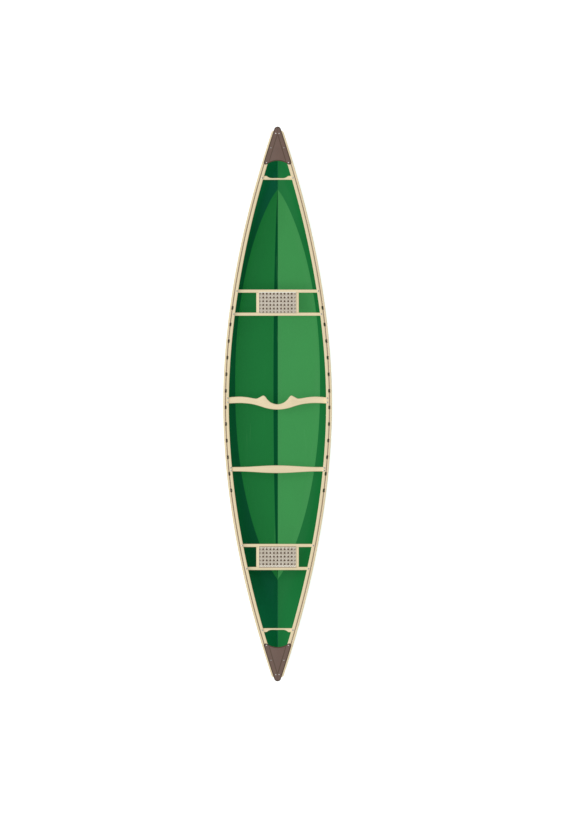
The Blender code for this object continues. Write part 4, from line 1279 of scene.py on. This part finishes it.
def crease_x(y):
    """Half-width of the deck's two creases at a y."""
    return max(CREASE_SLOPE * (CREASE_APEX - y), CREASE_LEAST * half_breadth(y, DECK_EDGE))


def deck_columns(y, width):
    """Positions across half the deck, closer together at the crease and at the edge."""
    crease = min(crease_x(y), width * 0.8)
    groove = min(CREASE_HALF_WIDTH, crease * 0.8, (width - crease) * 0.4)
    edge = min(0.009, (width - crease - groove) * 0.5)
    stops = [0.0] + [(crease - groove) * step / 8 for step in range(1, 9)]
    stops += [crease - groove + 2 * groove * step / 6 for step in range(1, 7)]
    stops += [crease + groove + (width - edge - crease - groove) * step / 6 for step in range(1, 7)]
    stops += [width - edge + edge * math.sin(math.radians(90 * step / 8)) for step in range(1, 9)]
    return stops


def groove_drop(x, y, width):
    """How deep the creases are at a point."""
    crease = min(crease_x(y), width * 0.8)
    groove = min(CREASE_HALF_WIDTH, crease * 0.8)
    away = abs(abs(x) - crease) / groove
    return CREASE_DEPTH * math.cos(math.pi / 2 * away) ** 2 if away < 1 else 0.0


def edge_distance(x, y):
    """Distance in plan from a point of the deck to its edge."""
    if y > nose_start(DECK_EDGE):
        side = nose_radius(DECK_EDGE) - math.hypot(x, y - NOSE_CENTRE)
    else:
        side = (half_breadth(y, DECK_EDGE) - abs(x)) * math.cos(plan_angle(y))
    if abs(x) > DECK_CORNER_START and y < DECK_CORNER[1]:
        rear = DECK_CORNER_RADIUS - math.hypot(abs(x) - DECK_CORNER[0], y - DECK_CORNER[1])
    else:
        rear = y - deck_rear_edge(x)
    return min(side, rear)


def rounded_drop(distance):
    """How far the deck's rounded edge falls, at a distance from it."""
    inside = min(max(DECK_ROUNDING - distance, 0.0), DECK_ROUNDING)
    return DECK_ROUNDING - math.sqrt(DECK_ROUNDING**2 - inside**2)


def lip_part(x):
    """1 where the rear edge is rolled down, and 0 beyond the lip's ends."""
    return 1 - ease((abs(x) - LIP_REACH[0]) / (LIP_REACH[1] - LIP_REACH[0]))


def make_deck(end, word, plastic):
    """The cap, row by row from its rear edge to its nose, with the values that colour it."""
    rear_y = DECK_CORNER[1]
    rear_width = deck_rear_width()
    nose_y = nose_start(DECK_EDGE)
    ys = [rear_y + (nose_y - rear_y) * (row / DECK_ROWS) ** DECK_ROW_POWER for row in range(DECK_ROWS + 1)]
    ys += nose_ys(DECK_EDGE, DECK_NOSE_ROWS)[:-1]
    ys.append(nose_tip(DECK_EDGE) - DECK_TIP_CUT)
    rows, border, crease = [], [], []
    for y_side in ys:
        width = half_breadth(y_side, DECK_EDGE)
        fade = max(1 - (y_side - rear_y) / DECK_FADE, 0.0) ** 1.5
        half = deck_columns(y_side, width)
        top, under, edge_row, crease_row = [], [], [], []
        for x in [-x for x in half[:0:-1]] + half:
            plan_x = x / width * rear_width
            rolled = lip_part(plan_x)
            y = y_side + (deck_rear_edge(plan_x) + LIP_RADIUS * rolled - rear_y) * fade
            base = deck_underside(y) + deck_crown(x / width, width)
            away = max(edge_distance(x, y), 0.0)
            rounding = rounded_drop(away) if rolled < 0.5 else 0.0
            drop = groove_drop(x, y_side, width) + rounding
            top.append(Vector((x, end * y, base + DECK_PLATE - drop)))
            under.append(Vector((x, end * y, base)))
            edge_row.append(away)
            beyond = max(y_side - CREASE_END, 0.0)
            crease_row.append(abs(abs(x) - crease_x(y_side)) + beyond)
        rows.append(top + under[::-1])
        border.append(edge_row + edge_row[::-1])
        crease.append(crease_row + crease_row[::-1])
    lip = [[0.0] * len(rows[0]) for _ in rows]
    add_rear_lip(rows, border, crease, lip, end)
    shell = Shell("border", "crease", "lip")
    shell.loft(rows, border=border, crease=crease, lip=lip)
    deck = shell.build(f"moulded_{word}_deck", plastic, angle=38)
    place_on_canoe(deck, "deck_plastic", f"{word}_deck")
    place_on_canoe(make_nose_skirt(end, word, plastic), "deck_plastic")


def add_rear_lip(rows, border, crease, lip, end):
    """Roll the rear edge down between the gunwales, in sections put before the first one."""
    first = rows[0]
    size = len(first)
    for angle, down in LIP_TURNS:
        turn = math.radians(angle)
        section = []
        for index, point in enumerate(first):
            radius = LIP_RADIUS if index < size // 2 else LIP_RADIUS - DECK_PLATE
            back = radius * math.sin(turn)
            fall = radius * (1 - math.cos(turn)) + down
            section.append(point + Vector((0.0, -end * back, -fall)) * lip_part(point.x))
        rows.insert(0, section)
        border.insert(0, border[0])
        crease.insert(0, [1.0] * size)
        tone = min(angle / LIP_DARK_FROM, 1.0)
        lip.insert(0, [tone if abs(point.x) < LIP_REACH[1] else 0.0 for point in first])


def make_nose_skirt(end, word, plastic):
    """The wall that hangs from the deck round the hull's nose."""
    outer_angle = math.asin((SKIRT_START - NOSE_CENTRE) / nose_radius(DECK_EDGE))
    rows = []
    up = Vector((0, 0, 1))
    for step in range(-SKIRT_STEPS, SKIRT_STEPS + 1):
        angle = math.pi / 2 - (math.pi / 2 - outer_angle) * abs(step) / SKIRT_STEPS
        pair = []
        for distance in SKIRT_FACES:
            y = NOSE_CENTRE + nose_radius(distance) * math.sin(angle)
            x = math.copysign(half_breadth(y, distance), step) if step else 0.0
            pair.append(Vector((x, end * y, deck_underside(y))))
        outer, inner = pair
        rows.append([outer + up * SKIRT_OVERLAP, outer - up * (SKIRT_DEPTH - SKIRT_BEVEL),
                     outer.lerp(inner, 0.35) - up * SKIRT_DEPTH,
                     inner - up * SKIRT_DEPTH, inner + up * SKIRT_OVERLAP])
    shell = Shell("border", "crease", "lip")
    shell.loft(rows, border=1.0, crease=1.0, lip=0.0)
    return shell.build(f"{word}_deck_skirt", plastic, angle=50)


# ================================================================== fasteners
def rail_top_placement(x, y, height, tilted):
    """Stands a fastener on the sheer, upright or square to it."""
    turn = math.atan(sheer_slope(y)) if tilted else 0.0
    return Matrix.Translation((x, y, sheer(y) + height)) @ Matrix.Rotation(turn, 4, "X")


def dome(radius, height, low, placement):
    """Rings of a domed head, from the small hexagon socket in its top down to its edge."""
    socket = [(radius * 0.33, low + height * 0.45), (radius * 0.36, low + height * 0.985)]
    angles = [math.radians(18 * step) for step in range(4, -1, -1)]
    shape = [(radius * math.cos(angle) ** 0.6, low + height * (0.28 + 0.72 * math.sin(angle)))
             for angle in angles]
    return rings(socket, placement, hexagon=True) + rings(shape, placement)


def make_fastener(name, rows, steel, *nodes):
    place_on_canoe(lofted(name, steel, rows, angle=30), "fastener_steel", *nodes)


def make_bolt(name, placement, grip, lift, steel):
    """A bolt from its domed head down, with its washer and nut under what it grips."""
    radius, height = BOLT_HEAD
    head = GAP + lift
    under = -grip - GAP
    low = under - WASHER[1]
    rows = dome(radius, height, head, placement)
    rows += rings([(radius, head), (BOLT_RADIUS, head), (BOLT_RADIUS, under),
                   (WASHER[0] - WASHER_EDGE, under), (WASHER[0], under - WASHER_EDGE),
                   (WASHER[0], low + WASHER_EDGE), (WASHER[0] - WASHER_EDGE, low)], placement)
    rows += rings([(NUT[0] - 0.0005, low), (NUT[0], low - NUT_EDGE), (NUT[0], low - NUT[1] + NUT_EDGE),
                   (NUT[0] - NUT_EDGE, low - NUT[1])], placement, hexagon=True)
    make_fastener(f"steel_{name}", rows, steel, name)


def make_screw(name, placement, steel, *nodes):
    radius, height = SCREW_HEAD
    rows = dome(radius, height, 0.0, placement)
    rows += rings([(radius, 0.0), (SCREW_RADIUS, 0.0), (SCREW_RADIUS, -SCREW_LENGTH + 0.003),
                   (0.0004, -SCREW_LENGTH)], placement)
    make_fastener(name, rows, steel, *nodes)


def make_pair_of_bolts(holder, y, grip, tilted, steel):
    x = inboard(y, BOLT_INBOARD)
    for side, word in SIDES:
        placement = rail_top_placement(side * x, y, RAIL_PROUD, tilted)
        lift = 0.0 if tilted else abs(sheer_slope(y)) * BOLT_HEAD[0]
        make_bolt(f"{holder}_{word}", placement, grip, lift, steel)


def make_bolts(steel):
    bolted = RAIL_DEPTH + GAP + BAR_THICKNESS
    for index, y in enumerate(YOKE_BOLTS):
        make_pair_of_bolts(f"yoke_bolt_{index + 1}", y, bolted, False, steel)
    for index, y in enumerate(THWART_BOLTS):
        make_pair_of_bolts(f"thwart_bolt_{index + 1}", y, bolted, False, steel)
    for end, word in ENDS:
        grip = (RAIL_DEPTH + GAP + HANDLE_THICKNESS) * math.cos(math.atan(sheer_slope(HANDLE_BOLT)))
        make_pair_of_bolts(f"{word}_handle_bolt", end * HANDLE_BOLT, grip, True, steel)


def make_seat_fasteners(seat, rails, steel, wood):
    """The long seat bolts and the wooden drops that they pass through."""
    top = seat_top(seat)
    for part, y in zip(("front", "rear"), rails):
        grip = sheer(y) + RAIL_PROUD - (top - BAR_THICKNESS)
        make_pair_of_bolts(f"{seat}_{part}_bolt", y, grip, False, steel)
        x = inboard(y, BOLT_INBOARD)
        low = top + GAP
        high = under_gunwale(y) - abs(sheer_slope(y)) * SPACER_RADIUS
        profile = ((SPACER_BORE, low), (SPACER_RADIUS - SPACER_EDGE, low),
                   (SPACER_RADIUS, low + SPACER_EDGE), (SPACER_RADIUS, (low + high) / 2),
                   (SPACER_RADIUS, high - SPACER_EDGE), (SPACER_RADIUS - SPACER_EDGE, high),
                   (SPACER_BORE, high))
        for side, word in SIDES:
            rows = rings(profile, Matrix.Translation((side * x, y, 0.0)), sides=28)
            drop = lofted(f"ash_{seat}_{part}_drop_{word}", wood, rows, along=[row[0].z for row in rows],
                          caps=False, looped=True)
            place_on_canoe(drop, "ash_wood", f"{seat}_{part}_spacer_{word}")


def deck_top_placement(end, side, x, y, lift=0.0):
    """Stands a screw on the deck, square to the sheer."""
    width = half_breadth(y, DECK_EDGE)
    height = RAIL_PROUD + GAP + DECK_PLATE + deck_crown(x / width, width) + lift
    return rail_top_placement(side * x, end * y, height, True)


def make_deck_screws(end, word, bright, dull):
    """The corner and tip screws, and the middle pair, which has no nodes of its own."""
    for index, y in enumerate(DECK_SCREWS):
        for side, side_word in SIDES:
            placement = deck_top_placement(end, side, inboard(y, BOLT_INBOARD), y, SCREW_HEAD_LIFT)
            name = f"{word}_deck_{side_word}_screw_{index + 1}"
            make_screw(f"steel_{name}", placement, bright, name)
    for side, side_word in SIDES:
        placement = deck_top_placement(end, side, *MIDDLE_SCREW)
        make_screw(f"{word}_deck_middle_screw_{side_word}", placement, dull)


# ================================================================== stage
def add_light(name, kind, energy, location, target, size=None):
    data = bpy.data.lights.new(name, kind)
    data.energy = energy
    if size:
        data.shape = "RECTANGLE"
        data.size, data.size_y = size
    light = bpy.data.objects.new(name, data)
    bpy.context.scene.collection.objects.link(light)
    light.location = location
    light.rotation_euler = (Vector(target) - Vector(location)).to_track_quat("-Z", "Y").to_euler()
    return light


def make_floor():
    """A matt floor that glows a little, so that it stays plain and pale."""
    s = Surface("studio_floor", [0.95, 0.95, 0.95, 1.0])
    s.finish([0.93, 0.93, 0.93, 1.0], 1.0, specular=0.0)
    s.shader.inputs["Emission Color"].default_value = (1.0, 1.0, 1.0, 1.0)
    s.shader.inputs["Emission Strength"].default_value = STAGE_GLOW
    mesh = bpy.data.meshes.new("studio_floor")
    corners = ((-1, -1), (1, -1), (1, 1), (-1, 1))
    mesh.from_pydata([(x * STAGE_HALF_SIZE, y * STAGE_HALF_SIZE, -STAGE_DROP) for x, y in corners],
                     [], [(0, 1, 2, 3)])
    mesh.materials.append(s.material)
    floor = bpy.data.objects.new("studio_floor", mesh)
    bpy.context.scene.collection.objects.link(floor)


def make_world():
    """White fill, and plain white where the camera sees past the floor."""
    world = bpy.data.worlds.new("studio")
    bpy.context.scene.world = world
    world.use_nodes = True
    nodes, links = world.node_tree.nodes, world.node_tree.links
    background = nodes["Background"]
    background.inputs[0].default_value = (1.0, 1.0, 1.0, 1.0)
    seen = nodes.new("ShaderNodeLightPath").outputs["Is Camera Ray"]
    strength = nodes.new("ShaderNodeMapRange")
    strength.inputs["To Min"].default_value = FILL_STRENGTH
    strength.inputs["To Max"].default_value = 1.0
    links.new(seen, strength.inputs["Value"])
    links.new(strength.outputs[0], background.inputs[1])


def make_lights():
    """A shadowless key from port and a soft panel overhead."""
    angle = math.radians(SUN_ANGLE)
    sun = add_light("key", "SUN", SUN_STRENGTH, (-10 * math.sin(angle), 0, 10 * math.cos(angle)), (0, 0, 0))
    sun.data.angle = math.radians(SUN_SIZE)
    sun.data.use_shadow = False
    add_light("overhead", "AREA", PANEL_STRENGTH, PANEL_AT, PANEL_TARGET, PANEL_SIZE)


def make_camera():
    """A long lens straight above the canoe."""
    data = bpy.data.cameras.new("camera")
    data.lens = LENS
    data.sensor_width = SENSOR
    data.clip_end = 200.0
    camera = bpy.data.objects.new("camera", data)
    bpy.context.scene.collection.objects.link(camera)
    distance = VIEW_HEIGHT * LENS / SENSOR
    camera.location = (CAMERA_AT[0], CAMERA_AT[1], distance + DEPTH_AMIDSHIPS + RAIL_PROUD)
    bpy.context.scene.camera = camera


# ================================================================== the canoe
def main():
    bpy.context.scene.view_settings.view_transform = "Standard"
    ash = make_wood()
    bright = make_steel("bright_steel", 0.72)
    dull = make_steel("dull_steel", 0.42)
    plastic = make_deck_plastic()
    cane = make_cane()
    hole_shade = make_hole_shade()
    reed = make_spline_surface()

    make_camera()
    make_world()
    make_lights()
    make_floor()

    make_hull(make_inner_skin(), make_outer_skin(), make_laminate())
    make_gunwales(ash, bright)
    make_bars(ash)
    for seat, rails in SEAT_RAILS.items():
        make_seat_wood(seat, rails, ash)
        make_cane_sheet(seat, rails, cane, hole_shade, reed)
        make_seat_fasteners(seat, rails, dull, ash)
    for end, word in ENDS:
        make_deck(end, word, plastic)
        make_deck_screws(end, word, bright, dull)
    make_bolts(dull)


main()
